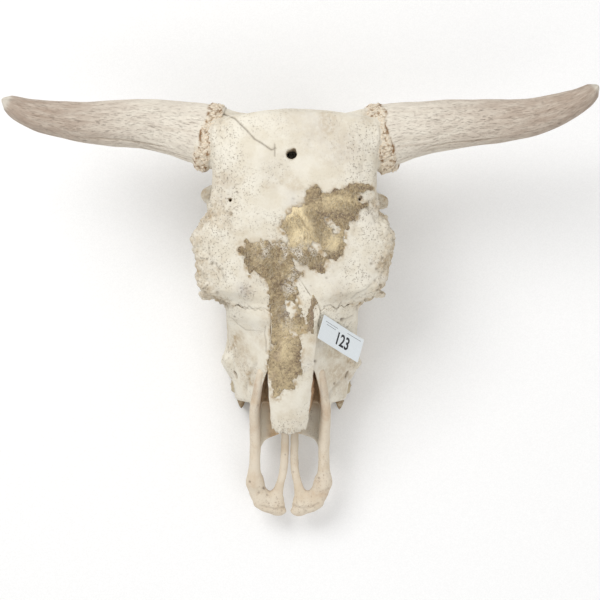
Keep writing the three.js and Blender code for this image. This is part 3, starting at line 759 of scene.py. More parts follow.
hideEdge = [
    (10.0, 115.8), (16.3, 119.0), (21.6, 114.8), (22.6, 110.6), (33.2, 112.1), (38.4, 116.4), (46.9, 118.3),
    (57.8, 121.8), (70.8, 119.8), (81.6, 117.9), (80.6, 113.7), (70.0, 115.0), (63.7, 113.9), (60.5, 109.5),
    (62.1, 103.7), (70.0, 101.6), (71.1, 94.8), (63.7, 94.8), (62.7, 87.4), (57.8, 84.2), (54.2, 81.1),
    (50.0, 74.8), (47.6, 71.6), (48.1, 64.2), (46.9, 58.4), (45.3, 52.6), (42.6, 45.8), (38.4, 42.6),
    (31.1, 41.4), (27.4, 43.2), (27.7, 35.8), (24.7, 30.0), (19.2, 29.0), (11.6, 32.9), (4.1, 37.2),
    (-2.3, 40.3), (-7.7, 43.6), (-4.7, 33.7), (2.6, 29.5), (1.6, 21.1), (-6.8, 20.0), (-4.7, 8.4),
    (0.5, -9.5), (5.3, -25.3), (6.8, -34.7), (-2.6, -36.9), (0.5, -42.1), (2.0, -52.6), (0.5, -65.3),
    (-0.5, -79.0), (-5.8, -85.3), (-5.2, -91.6), (-14.2, -96.3), (-20.5, -97.9), (-22.1, -104.2),
    (-27.9, -103.2), (-30.0, -88.5), (-35.1, -75.4), (-31.8, -52.6), (-30.2, -27.1), (-31.8, -4.2),
    (-33.4, 5.3), (-34.5, 19.0), (-42.1, 26.3), (-49.6, 31.6), (-52.1, 25.8), (-57.4, 37.2), (-62.7, 46.8),
    (-65.8, 55.8), (-59.3, 54.8), (-55.0, 61.3), (-47.5, 60.0), (-36.7, 61.8), (-26.0, 61.8), (-15.3, 61.8),
    (-18.4, 68.4), (-21.2, 76.9), (-17.4, 87.6), (-11.1, 94.0), (-0.2, 98.4), (6.2, 100.6), (6.2, 107.0),
]
hideStrip = [
    (10.0, 0.0), (14.2, 4.2), (18.4, 1.1), (17.4, -7.4), (14.7, -15.8), (13.2, -25.3), (14.2, -34.7),
    (6.8, -34.7), (7.9, -23.2), (10.0, -11.6),
]
hideGaps = [
    [(-14.2, -2.1), (-9.0, -0.5), (-4.7, -5.3), (-5.3, -11.6), (-7.9, -17.9), (-12.1, -14.7)],
    [(26.3, 85.8), (32.1, 84.8), (39.5, 78.4), (40.5, 70.6), (37.4, 70.0), (33.2, 76.9), (27.9, 81.6)],
    [(10.0, 55.8), (13.2, 63.2), (19.5, 57.9), (24.7, 46.3), (19.5, 52.6)],
]


def plan(x, y, z):
    # where the eye's line through a point meets the level of the marks
    scale = (place["eyeHeight"] - place["markLevel"]) / (place["eyeHeight"] - z)
    return x * scale, y * scale


def nearPath(u, v, places):
    # the distance in plan from each point to a broken line
    best = np.full(len(u), 1e9)
    for (ax, ay), (bx, by) in zip(places[:-1], places[1:]):
        dx, dy = bx - ax, by - ay
        t = np.clip(((u - ax) * dx + (v - ay) * dy) / (dx * dx + dy * dy + 1e-9), 0, 1)
        best = np.minimum(best, np.hypot(u - ax - t * dx, v - ay - t * dy))
    return best


def insideDistance(u, v, outline):
    # signed distance to a closed outline: below 0 inside, by counting crossings of a line to the right
    closed = outline + outline[:1]
    far = nearPath(u, v, closed)
    inside = np.zeros(len(u), bool)
    for (ax, ay), (bx, by) in zip(closed[:-1], closed[1:]):
        if ay != by:
            inside ^= ((ay > v) != (by > v)) & (u < (bx - ax) * (v - ay) / (by - ay) + ax)
    return np.where(inside, -far, far)


def browShare(xm, y, z):
    # 1 on the knobby rims above the eyes
    rim = rimWidth(y)
    return ramp(xm, rim - 17, rim - 3) * ramp(y, -14, -2) * ramp(y, 120, 96) * ramp(z, 62, 80)


def noseLining(points, normals):
    # 1 on the walls inside the nose, fading on the outer shelf near its front
    x, y, z = points.T
    side = x - midline(y)
    xm = np.abs(side)
    lining = ramp(nasalHollow()[2](side, y, z), 1.6, 0.4)
    lining = np.maximum(lining, ramp(y, -84, -96) * ramp(z, 56, 46) * ramp(xm, 38, 33))
    lining *= 1 - np.minimum(0.85 * ramp(xm, 19, 29) + 0.9 * ramp(side, 8, 15), 0.95) * ramp(-y, 108, 126)
    return lining * ramp(normals[:, 2], -0.6, -0.1)


def boneMarks(points, normals, seed=0, lined=False):
    # height along the normal, and the masks that the bone material reads, from noise and the lists above
    x, y, z = points.T
    u, v = plan(x, y, z)
    xm = np.abs(x - midline(y))
    seen = ramp(normals[:, 2], 0.1, 0.4) * ramp(z, 25, 34)
    brow = browShare(xm, y, z)
    outer = ramp(xm, rimWidth(y) - 8, rimWidth(y)) * brow

    def noise(size, offset, layers=2):
        return cloud(points, size, seed + offset, layers)

    def spot(at, radius, power=1.0):
        # 1 at a listed place, falling off as exp(-(distance^2 / radius^2)^power)
        return np.exp(-(((u - at[0]) ** 2 + (v - at[1]) ** 2) / radius**2) ** power) * seen

    rise = 0.42 * noise(34, 0) + 0.17 * noise(9, 5) + 0.07 * noise(3.2, 9, 1)
    knobs = cells(points + 2.0 * noise(6, 11, 1)[:, None], 6.0, seed + 13)[0]
    rise += brow * (1.9 * noise(11, 12) + 2.3 * (0.6 - knobs) + 1.0 * noise(3.6, 15) - 0.2)
    hollow = np.zeros(len(points))
    # brown stain in large clouds and on the knobby rims above the eyes, and darker on the steep outer face of
    # those rims
    stain = (0.4 * ramp(noise(30, 21, 3), 0.35, 1.1) + 0.45 * brow * ramp(noise(7, 24), -0.3, 0.7)
             + 0.25 * outer)
    pore = 0.34 + 0.3 * noise(26, 33) + 0.5 * brow
    beside = np.maximum(insideDistance(u, v, hideEdge), 0)
    stain = np.maximum(stain, bell(beside, 3.4) * ramp(noise(4, 36), -0.5, 0.4) * seen)
    # painted shade inside the eye sockets, so that they read deeper
    stain = np.maximum(stain, 0.65 * ramp(orbitHollow(1)[2](xm, y, z), 4.0, -1.0) * ramp(xm, 97, 84))
    cool = 0.2 * ramp(noise(26, 71), 0.1, 0.9)
    ragged = 1 + 0.3 * noise(8, 73)
    for at, radius, strength in coolPatches:
        cool = np.maximum(cool, strength * spot(at, radius * ragged))
    dents = [(bell(nearPath(u, v, places), half) * seen, depth, dark)
             for places, half, depth, dark in grooves]
    dents += [(spot(at, radius, 1.5), depth, dark) for at, radius, depth, dark in pits]
    for share, depth, dark in dents:
        rise -= depth * share
        hollow = np.maximum(hollow, dark * share)
    for at, radius, height in swellings:
        rise += height * spot(at, radius)
    ragged = 1 + 0.35 * noise(6, 41)
    for at, radius, strength in patches:
        stain = np.maximum(stain, strength * spot(at, radius * ragged))
    for at, radius in poreFields:
        pore = np.maximum(pore, spot(at, radius))
    for at, radius in bleached:
        clear = 1 - 0.8 * spot(at, radius)
        stain, cool, pore = stain * clear, cool * clear, pore * (0.4 + 0.6 * clear)
    near, own = cells(points * (1, 0.75, 1) + 1.2 * noise(4, 66, 1)[:, None], 3.3, seed + 60)
    pinprick = np.where(own > 0.35, bell(near * 3.3, 0.9), 0) * ramp(pore, 0.2, 0.95)
    rise -= 0.8 * pinprick
    masks = {"stain": stain, "pore": pore, "hollow": np.maximum(hollow, 0.42 * pinprick), "cool": cool}
    if lined:
        masks["lining"] = noseLining(points, normals)
    return rise, masks


def openness(clay, points, normals, reach):
    # how free the space is in front of a point: the stored distance there, as a share of the reach
    low = np.array([a[0] for a in clay.axis])
    at = np.rint((points + normals * reach - low) / clay.step).astype(int)
    at = np.clip(at, 0, np.array(clay.value.shape) - 1)
    return np.clip(clay.value[at[:, 0], at[:, 1], at[:, 2]] / reach, 0, 1)


def finishBone(name, clay, whole, look, nodes, seed=0):
    # the clay's surface with its marks; whole is the clay that shades the crevices
    points, faces = clay.skin()
    normals = skinNormals(points, faces)
    cutFromHead = whole is not clay
    rise, masks = boneMarks(points, normals, seed, cutFromHead)
    # painted shade: darker where little space is open in front of the surface, read at two distances in the
    # whole clay; the next line leaves it off the front of the palate
    grime = 1 - 0.55 * openness(whole, points, normals, 3.5) - 0.45 * openness(whole, points, normals, 10)
    masks["grime"] = grime * (1 - ramp(-points[:, 1], 110, 124)) if cutFromHead else grime
    attach(makeMesh(name, points + normals * rise[:, None], faces, look, masks), "bone", *nodes)
    print(name, len(faces) * 2, "triangles")


# materials

class Wires:
    # short ways to add and join nodes in one tree
    def __init__(self, tree):
        self.tree = tree

    def plug(self, made, inputs):
        for key, value in inputs.items():
            if isinstance(value, bpy.types.NodeSocket):
                self.tree.links.new(value, made.inputs[key])
            else:
                made.inputs[key].default_value = value
        return made

    def node(self, kind, inputs=None, **settings):
        made = self.tree.nodes.new("ShaderNode" + kind)
        for key, value in settings.items():
            setattr(made, key, value)
        return self.plug(made, inputs or {})

    def noise(self, vector, scale, detail=3.0, roughness=0.55, distortion=0.0):
        return self.node("TexNoise", {"Vector": vector, "Scale": scale, "Detail": detail,
                                      "Roughness": roughness, "Distortion": distortion}).outputs["Fac"]

    def spread(self, value, low, high, start=0.0, end=1.0):
        return self.node("MapRange", {"Value": value, "From Min": low, "From Max": high, "To Min": start,
                                      "To Max": end}, interpolation_type="SMOOTHSTEP").outputs["Result"]

    def specks(self, vector, scale, size, share):
        # spots of random cells: 1 inside the radius size (in cell widths) for the given share of cells
        cell = self.node("TexVoronoi", {"Vector": vector, "Scale": scale})
        chosen = self.node("SeparateColor", {"Color": cell.outputs["Color"]}).outputs[0]
        inside = self.spread(cell.outputs["Distance"], size, size * 0.45)
        return self.times(inside, self.maths("LESS_THAN", chosen, share))

    def warped(self, vector, scale, amount):
        # the place pushed about by noise
        push = self.node("TexNoise", {"Vector": vector, "Scale": scale, "Detail": 2.0}).outputs["Color"]
        shift = self.node("VectorMath", {0: push, 1: (0.5, 0.5, 0.5)}, operation="SUBTRACT").outputs[0]
        return self.node("VectorMath", {0: shift, 1: (amount, amount, amount), 2: vector},
                         operation="MULTIPLY_ADD").outputs[0]

    def stretched(self, vector, along):
        # the place squeezed along y, which draws a texture out in that direction
        return self.node("Mapping", {"Vector": vector, "Scale": (1.0, along, 1.0)},
                         vector_type="POINT").outputs[0]

    def maths(self, operation, a, b=0.0):
        return self.node("Math", {0: a, 1: b}, operation=operation).outputs[0]

    def times(self, a, b):
        return self.maths("MULTIPLY", a, b)

    def blend(self, share, a, b):
        a, b = (rgb(value) if isinstance(value, tuple) else value for value in (a, b))
        return self.node("Mix", {0: share, 6: a, 7: b}, data_type="RGBA").outputs[2]

    def mask(self, name):
        return self.node("Attribute", attribute_name=name).outputs["Fac"]


def rgb(tone):
    return (*tone, 1.0)


def shaderGroup(name, masks, tones, build):
    # a node group that turns a place, masks and tones into color, roughness and height
    tree = bpy.data.node_groups.new(name, "ShaderNodeTree")
    for labels, way, kind in (
        (["Place"], "INPUT", "Vector"), (masks, "INPUT", "Float"), (tones, "INPUT", "Color"),
        (["Color"], "OUTPUT", "Color"), (["Roughness", "Height"], "OUTPUT", "Float"),
    ):
        for label in labels:
            tree.interface.new_socket(label, in_out=way, socket_type="NodeSocket" + kind)
    given = tree.nodes.new("NodeGroupInput").outputs
    wires = Wires(tree)
    wires.plug(tree.nodes.new("NodeGroupOutput"), build(wires, given))
    return tree


def newLook(name, specular):
    made = bpy.data.materials.new(name)
    made.use_nodes = True
    w = Wires(made.node_tree)
    shader = w.plug(made.node_tree.nodes["Principled BSDF"], {"Specular IOR Level": specular})
    return made, w, shader


def groupLook(name, group, masks, tones=(), bump=0.35, depth=0.0006, vector="Object", specular=0.35):
    made, w, shader = newLook(name, specular)
    given = {"Place": w.node("TexCoord").outputs[vector], **{key: w.mask(key.lower()) for key in masks}}
    given.update({key: rgb(tone) for key, tone in dict(tones).items()})
    inner = w.node("Group", given, node_tree=group).outputs
    bumped = w.node("Bump", {"Height": inner["Height"], "Strength": bump, "Distance": depth})
    w.plug(shader, {"Base Color": inner["Color"], "Roughness": inner["Roughness"],
                    "Normal": bumped.outputs["Normal"]})
    return made


def boneSurface(w, given):
    # warm ivory with faint clouds, brown stains with some painted shade among them, greyed hollows, painted
    # shade in crevices, pinholes and a fine grain
    spot = given["Place"]
    mottle, fine, grain = w.noise(spot, 55, 5, 0.6), w.noise(spot, 420, 4, 0.65), w.noise(spot, 1500, 3, 0.6)
    bent = w.warped(spot, 260, 0.004)
    small, large = w.specks(bent, 560, 0.36, 0.62), w.specks(bent, 300, 0.27, 0.5)
    hole = w.times(w.maths("MAXIMUM", small, large), w.spread(given["Pore"], 0.1, 0.75))
    stain = w.times(given["Stain"], w.spread(w.noise(spot, 210, 5, 0.7), 0.32, 0.62, 0.25, 1.0))
    cool = w.times(given["Cool"], w.spread(w.noise(spot, 160, 5, 0.7), 0.35, 0.62, 0.45, 1.0))
    # painted shade: crevices and enclosed places darken towards the dusky brown tone
    grime = w.times(w.spread(given["Grime"], 0.12, 0.85), w.spread(fine, 0.3, 0.7, 0.6, 1.0))
    lined = w.blend(w.spread(w.noise(spot, 110, 4, 0.6), 0.35, 0.65), (0.45, 0.30, 0.165), (0.67, 0.51, 0.33))
    color = w.blend(w.spread(mottle, 0.38, 0.68), given["Pale"], given["Tint"])
    for share, tone in (
        (w.times(w.spread(fine, 0.5, 0.8), 0.35), given["Tint"]), (cool, given["Grey"]),
        (stain, given["Brown"]), (grime, given["Dust"]), (w.times(hole, 0.6), given["Pit"]),
        (given["Lining"], lined), (w.times(given["Hollow"], 0.85), given["Deep"]),
    ):
        color = w.blend(share, color, tone)
    height = w.maths("ADD", w.times(fine, 0.5), w.times(grain, 0.28))
    height = w.maths("SUBTRACT", height, w.times(hole, 0.9))
    return {"Color": color, "Roughness": w.spread(fine, 0.3, 0.7, 0.62, 0.80), "Height": height}


boneMasks = ["Stain", "Grime", "Pore", "Hollow", "Lining", "Cool"]
boneTones = ["Grey", "Pale", "Tint", "Brown", "Dust", "Deep", "Pit"]
boneGroup = shaderGroup("boneSurface", boneMasks, boneTones, boneSurface)


def boneKind(name, *tones, **settings):
    return groupLook(name, boneGroup, boneMasks, zip(boneTones, tones), **settings)


boneLook = boneKind(
    "bone", (0.60, 0.565, 0.52), (0.80, 0.755, 0.65), (0.725, 0.665, 0.545), (0.44, 0.32, 0.18),
    (0.44, 0.34, 0.23), (0.12, 0.08, 0.05), (0.33, 0.26, 0.19), bump=0.75, depth=0.001)
muzzleLook = boneKind(
    "muzzleBone", (0.60, 0.56, 0.50), (0.73, 0.645, 0.52), (0.655, 0.55, 0.415), (0.48, 0.31, 0.18),
    (0.42, 0.30, 0.20), (0.15, 0.09, 0.06), (0.42, 0.30, 0.22), bump=0.6, depth=0.0008)
enamelLook = boneKind(
    "tooth", (0.42, 0.38, 0.30), (0.74, 0.68, 0.52), (0.58, 0.48, 0.32), (0.26, 0.17, 0.09),
    (0.16, 0.11, 0.07), (0.06, 0.045, 0.035), (0.3, 0.22, 0.14), specular=0.5)
noseLook = boneKind(
    "noseLining", (0.5, 0.42, 0.32), (0.74, 0.55, 0.36), (0.58, 0.40, 0.24), (0.44, 0.26, 0.14),
    (0.34, 0.20, 0.11), (0.10, 0.06, 0.035), (0.20, 0.13, 0.08))


def hornSurface(w, given):
    # grey-cream core bone, browner to the tip, with long fine grooves; the burr at its root is orange-tan,
    # with painted shade in its crevices and along its edges
    spot, tip = given["Place"], given["Tip"]
    fibres = w.noise(w.stretched(spot, 0.09), 900, 4, 0.7)
    bent = w.warped(w.stretched(spot, 0.27), 300, 0.003)
    pits = w.maths("MAXIMUM", w.specks(bent, 520, 0.36, 0.6), w.specks(bent, 290, 0.27, 0.42))
    mottle, speck = w.noise(spot, 38, 5, 0.65), w.noise(spot, 400, 4, 0.65)
    burr = w.blend(w.spread(speck, 0.4, 0.6), (0.75, 0.61, 0.44), (0.86, 0.785, 0.655))
    color = w.blend(w.spread(mottle, 0.35, 0.65), (0.85, 0.79, 0.68), (0.77, 0.70, 0.60))
    for share, tone in (
        (w.times(w.spread(tip, 0.15, 0.95), w.spread(mottle, 0.25, 0.7, 0.55, 1.0)), (0.46, 0.355, 0.28)),
        (w.times(w.spread(fibres, 0.52, 0.70), 0.26), (0.42, 0.32, 0.23)),
        (w.times(pits, w.spread(tip, 0.1, 0.9, 0.34, 0.62)), (0.34, 0.245, 0.17)),
        (w.times(given["Groove"], 0.5), (0.37, 0.27, 0.185)),
        (w.spread(tip, 0.972, 0.99), (0.78, 0.72, 0.62)), (given["Burr"], burr),
        (given["Crevice"], (0.27, 0.15, 0.065)),
    ):
        color = w.blend(share, color, tone)
    height = w.maths("ADD", w.times(fibres, 0.8), w.times(speck, 0.2))
    height = w.maths("SUBTRACT", height, w.times(pits, 0.5))
    return {"Color": color, "Roughness": w.spread(fibres, 0.3, 0.7, 0.6, 0.78), "Height": height}


hornMasks = ["Tip", "Groove", "Burr", "Crevice"]
hornGroup = shaderGroup("hornSurface", hornMasks, [], hornSurface)
hornLook = groupLook("hornCore", hornGroup, hornMasks, vector="UV", bump=0.9, depth=0.001)


def hideSurface(w, given):
    # dried skin: golden brown with greyish white fleece flecks, darker where it is thin
    spot, gold, fleece = given["Place"], given["Gold"], given["Fleece"]
    streaks = w.noise(w.stretched(spot, 0.35), 900, 5, 0.7, 1.0)
    mottle, clumps = w.noise(spot, 170, 6, 0.72), w.noise(spot, 460, 4, 0.72)
    flecks = w.noise(w.warped(spot, 500, 0.002), 760, 3, 0.65)
    color = w.blend(w.spread(mottle, 0.42, 0.58), (0.50, 0.395, 0.24), (0.29, 0.21, 0.125))
    for share, tone in (
        (w.spread(w.noise(spot, 62, 4, 0.6), 0.46, 0.66, 0.0, 0.6), (0.30, 0.22, 0.135)),
        (w.times(gold, w.spread(mottle, 0.72, 0.45, 0.7, 1.0)), (0.92, 0.77, 0.49)),
        (w.times(given["Dark"], w.spread(mottle, 0.35, 0.6, 0.5, 0.85)), (0.19, 0.135, 0.095)),
        (w.times(w.spread(clumps, 0.50, 0.62), 0.5), (0.68, 0.54, 0.31)),
        (w.times(w.spread(clumps, 0.47, 0.34), w.spread(gold, 0.3, 1.0, 0.75, 0.12)), (0.12, 0.08, 0.05)),
        (w.times(fleece, w.spread(flecks, 0.46, 0.53)), (0.80, 0.76, 0.68)),
        (w.times(fleece, w.spread(flecks, 0.43, 0.34)), (0.17, 0.145, 0.125)),
        (w.times(given["Purple"], 0.75), (0.34, 0.245, 0.18)),
        (w.times(w.spread(flecks, 0.56, 0.68), 0.35), (0.72, 0.59, 0.36)),
        (w.times(w.spread(streaks, 0.52, 0.35), 0.3), (0.12, 0.08, 0.05)),
    ):
        color = w.blend(share, color, tone)
    height = w.maths("ADD", streaks, mottle)
    return {"Color": color, "Roughness": w.spread(streaks, 0.3, 0.7, 0.62, 0.85), "Height": height}


hideMasks = ["Gold", "Fleece", "Purple", "Dark"]
hideGroup = shaderGroup("hideSurface", hideMasks, [], hideSurface)
hideLook = groupLook("driedHide", hideGroup, hideMasks, bump=0.9, depth=0.0012)


def plainLook(name, tone, roughness):
    made, w, shader = newLook(name, 0.4)
    grain = w.noise(w.node("TexCoord").outputs["Object"], 700, 3, 0.6)
    color = w.blend(w.spread(grain, 0.35, 0.65), tone, tuple(c * 0.96 for c in tone))
    uneven = w.spread(grain, 0.3, 0.7, roughness - 0.05, roughness + 0.05)
    w.plug(shader, {"Base Color": color, "Roughness": uneven})
    return made


cardLook = plainLook("card", (0.80, 0.85, 0.88), 0.5)
inkLook = plainLook("ink", (0.02, 0.02, 0.025), 0.6)
ruleLook = plainLook("rules", (0.22, 0.23, 0.25), 0.6)
floorLook = plainLook("floor", (0.93, 0.93, 0.93), 0.7)


# head: forehead, braincase and upper jaws

head = Clay((-128, -172, -3), (112, 216, 208), skull["boneStep"] * rough)
shapeHead(head)
print("head shaped")
seamGap = -0.12  # the pieces run into each other a little, so a suture shows only as the groove drawn on it


def cutOut(low, high, coarse, *planes):
    # a copy of part of the head on a grid coarser by that factor, read between the points, trimmed by seams
    part = Clay(low, low, head.step * coarse)
    cut = head.between(low, high)
    part.value = head.value[cut]
    for k in range(3):
        at = np.arange(0, part.value.shape[k] - 1, coarse)
        i = at.astype(int)
        share = (at - i).astype(np.float32).reshape([-1 if n == k else 1 for n in range(3)])
        part.value = np.take(part.value, i, k) * (1 - share) + np.take(part.value, i + 1, k) * share
        part.axis[k] = head.axis[k][cut[k]][0] + at * head.step
    for way, seam in planes:
        part.keep(lambda x, y, z: seamGap + way * seam(x, y, z))
    return part


def middlePlane(x, y, z):
    return x


for name, low, high, coarse, planes, nodes in (
    ("foreheadBone", (-128, -60, 90), (112, 216, 208), 1.16, [(-1, frontSeam), (-1, topSeam)], ["cranium"]),
    ("braincaseBack", (-128, 90, -3), (112, 216, 175), 1.2, [(-1, backSeam), (1, topSeam)],
     ["occipital_bone"]),
    ("braincaseFront", (-128, -60, -3), (112, 118, 175), 1.2, [(-1, frontSeam), (1, topSeam), (1, backSeam)],
     ["cheekbone_left", "cheekbone_right"]),
    ("upperJawLeft", (-18, -172, -3), (112, 40, 170), 1.0, [(1, frontSeam), (-1, middlePlane)],
     ["upper_jaw_left"]),
    ("upperJawRight", (-128, -172, -3), (4, 40, 170), 1.0, [(1, frontSeam), (1, middlePlane)],
     ["upper_jaw_right"]),
):
    finishBone(name, cutOut(low, high, coarse, *planes), head, boneLook, nodes)


# muzzle bones

muzzle = {
    "step": 0.9, "reach": 58,
    "outerBar": [(32.2, -78, 108.5), (35.4, -94, 99.5), (37.6, -108, 90), (39, -122, 79), (38.4, -140, 67),
                 (37.6, -160, 58), (37.8, -178, 52), (38.2, -192, 47.5), (38, -203, 43.5)],
    "innerBar": [(5.4, -116, 36.5), (5.4, -150, 38.5), (5.4, -176, 40), (6.8, -192, 39.5), (9.8, -204, 37.5),
                 (12.6, -216, 35.5), (13.4, -228, 33)],
    "foot": [(38, -200, 44), (34, -214, 39.5), (25, -224, 35.5), (14, -230, 32.5)],
    "toe": [(12, -233, 31.5), (24, -231.5, 33.5), (34, -226, 36.5)],
    "gutter": [(31.5, -150, 60), (31, -176, 51), (29.5, -194, 46)],
}


def muzzleBone(s):
    # two bars that meet in a thick foot, with a gutter along the outer one and a seam towards the other side
    outerBar, innerBar, foot, toe, gutter = (
        [(s * x, y, z) for x, y, z in muzzle[key]]
        for key in ("outerBar", "innerBar", "foot", "toe", "gutter"))
    ends = midline(-160) + np.array([min(s * muzzle["reach"], 0) - 6, max(s * muzzle["reach"], 0) + 6])
    clay = Clay((ends[0], -242, 16), (ends[1], -66, 124), muzzle["step"] * rough)
    for form, soft in [
        (rod(outerBar,
             lambda t: 4.6 + 0.7 * ramp(t, 0, 0.375) + 1.1 * ramp(t, 0.375, 0.65) + 2.4 * ramp(t, 0.74, 1),
             lambda t: 4.4 + 3.6 * ramp(t, 0.1, 0.45) - 1.3 * ramp(t, 0.5, 1), pieces=22), 2),
        (rod(foot, lambda t: 8.0 + 2.4 * np.sin(math.pi * t), lambda t: 6.0 - 0.8 * t, pieces=10), 7),
        (rod(innerBar, lambda t: 4.7 + 1.4 * ramp(t, 0.62, 0.82) + 2.4 * ramp(t, 0.8, 1), 3.8, pieces=14), 8),
        (rod(toe, 5.2, 4.2, pieces=5), 4),
        (egg((s * 11.5, -233.5, 31), (9.5, 7.5, 4.6)), 3),
    ]:
        clay.add(form, soft)
    clay.carve(rod(gutter, lambda t: 0.4 + 2.2 * np.sin(math.pi * t), pieces=6), 3)
    clay.keep(lambda x, y, z: faceSlope(x, y, z) - 0.7 - 30 * ramp(-y, 108, 132) + 0 * x, 2)
    clay.keep(lambda x, y, z: 0.35 - s * x + 4.4 * ramp(-y, 186, 209) - 2.5 * ramp(-y, 228, 238)
              + sutureWave(y, z, 7, 0.5, 3))
    return clay


for s, side in ((1, "left"), (-1, "right")):
    clay = muzzleBone(s)
    finishBone("muzzleBone" + side.capitalize(), clay, clay, muzzleLook, ["muzzle_bone_" + side], 4)


# nasal bones

nasal = {"back": 29, "front": -146.5, "thick": 3.0, "rows": 180, "columns": 34}


def nasalBone(s, side):
    # lens section: roof z = nasalTop - nasalDrop a^2.2 from midline a = 0 to edge a = 1, the floor one
    # thickness lower, and a ragged front
    rows, half = int(nasal["rows"] / rough), int(nasal["columns"] / rough)
    y = np.linspace(nasal["back"], nasal["front"], rows)[:, None]
    width = nasalSide[s](y)
    a = np.linspace(0, 1, half)[None, :]
    across = a * (width + 1.0) - 1.0
    outward = np.clip(across / width, 0, 1)
    roof = nasalTop(y) - nasalDrop(y) * outward**2.2 - 0.5 * np.minimum(across, 0) ** 2
    thick = nasal["thick"] * ramp(29.5 - y, 0, 5) * (0.35 + 0.65 * ramp(y + 148, 0, 7))
    thick = thick * (0.45 + 0.55 * np.sqrt(1 - a**6))
    front = ramp(-y, 138, 147.5)
    crossways = spots(across * s, 0 * y, 5.0)
    ragged = front * (1.8 * cloud(crossways, 6.0, 70, 2) + 2.6 * np.abs(cloud(crossways, 2.2, 74, 2)) + 1.2)
    along = y + ragged + front * 1.2 * outward**3
    wave = 0.5 * cloud(spots(y, 0 * a, 3.0 * s), 8.0, 77, 2) * a**4
    x = s * (across + wave) + midline(along)
    grid = np.concatenate([spots(x, along, roof), spots(x, along, roof - thick)[:, ::-1]], axis=1)
    points = grid.reshape(-1, 3)
    up = np.tile(np.repeat([1.0, -1.0], half), rows)
    rise, masks = boneMarks(points, spots(0, 0, up), 8)
    aside = points[:, 0] - midline(points[:, 1])
    forward = -points[:, 1]
    fringe = ramp(forward, 126, 146) * ramp(cloud(points * (1, 0.12, 1), 1.7, 79, 1), -0.1, 0.7)
    # darker at the ragged front fringe and along the midline seam, and painted shade over the underside of
    # the bone
    masks["grime"] = np.maximum(0.55 * fringe, 0.16 * bell(aside, 0.7)) + 0.6 * (up < 0)
    masks["stain"] = np.maximum(masks["stain"], 0.6 * fringe * ramp(aside, -6, 3) * ramp(aside, 9, 4))
    masks["pore"] = np.maximum(masks["pore"], ramp(forward, 118, 140))
    masks["hollow"] = np.maximum(masks["hollow"], 0.3 * ramp(forward, 142, 147.5))
    points[:, 2] += rise * np.where(up > 0, 1, 0.3)
    masks = {key: values.reshape(grid.shape[:2]) for key, values in masks.items()}
    piece = tubeMesh("nasalBone" + side.capitalize(), points.reshape(grid.shape), boneLook, masks)
    attach(piece, "bone", "nasal_bone_" + side)


for s, side in ((1, "left"), (-1, "right")):
    nasalBone(s, side)
print("nasal bones made")


# horn cores

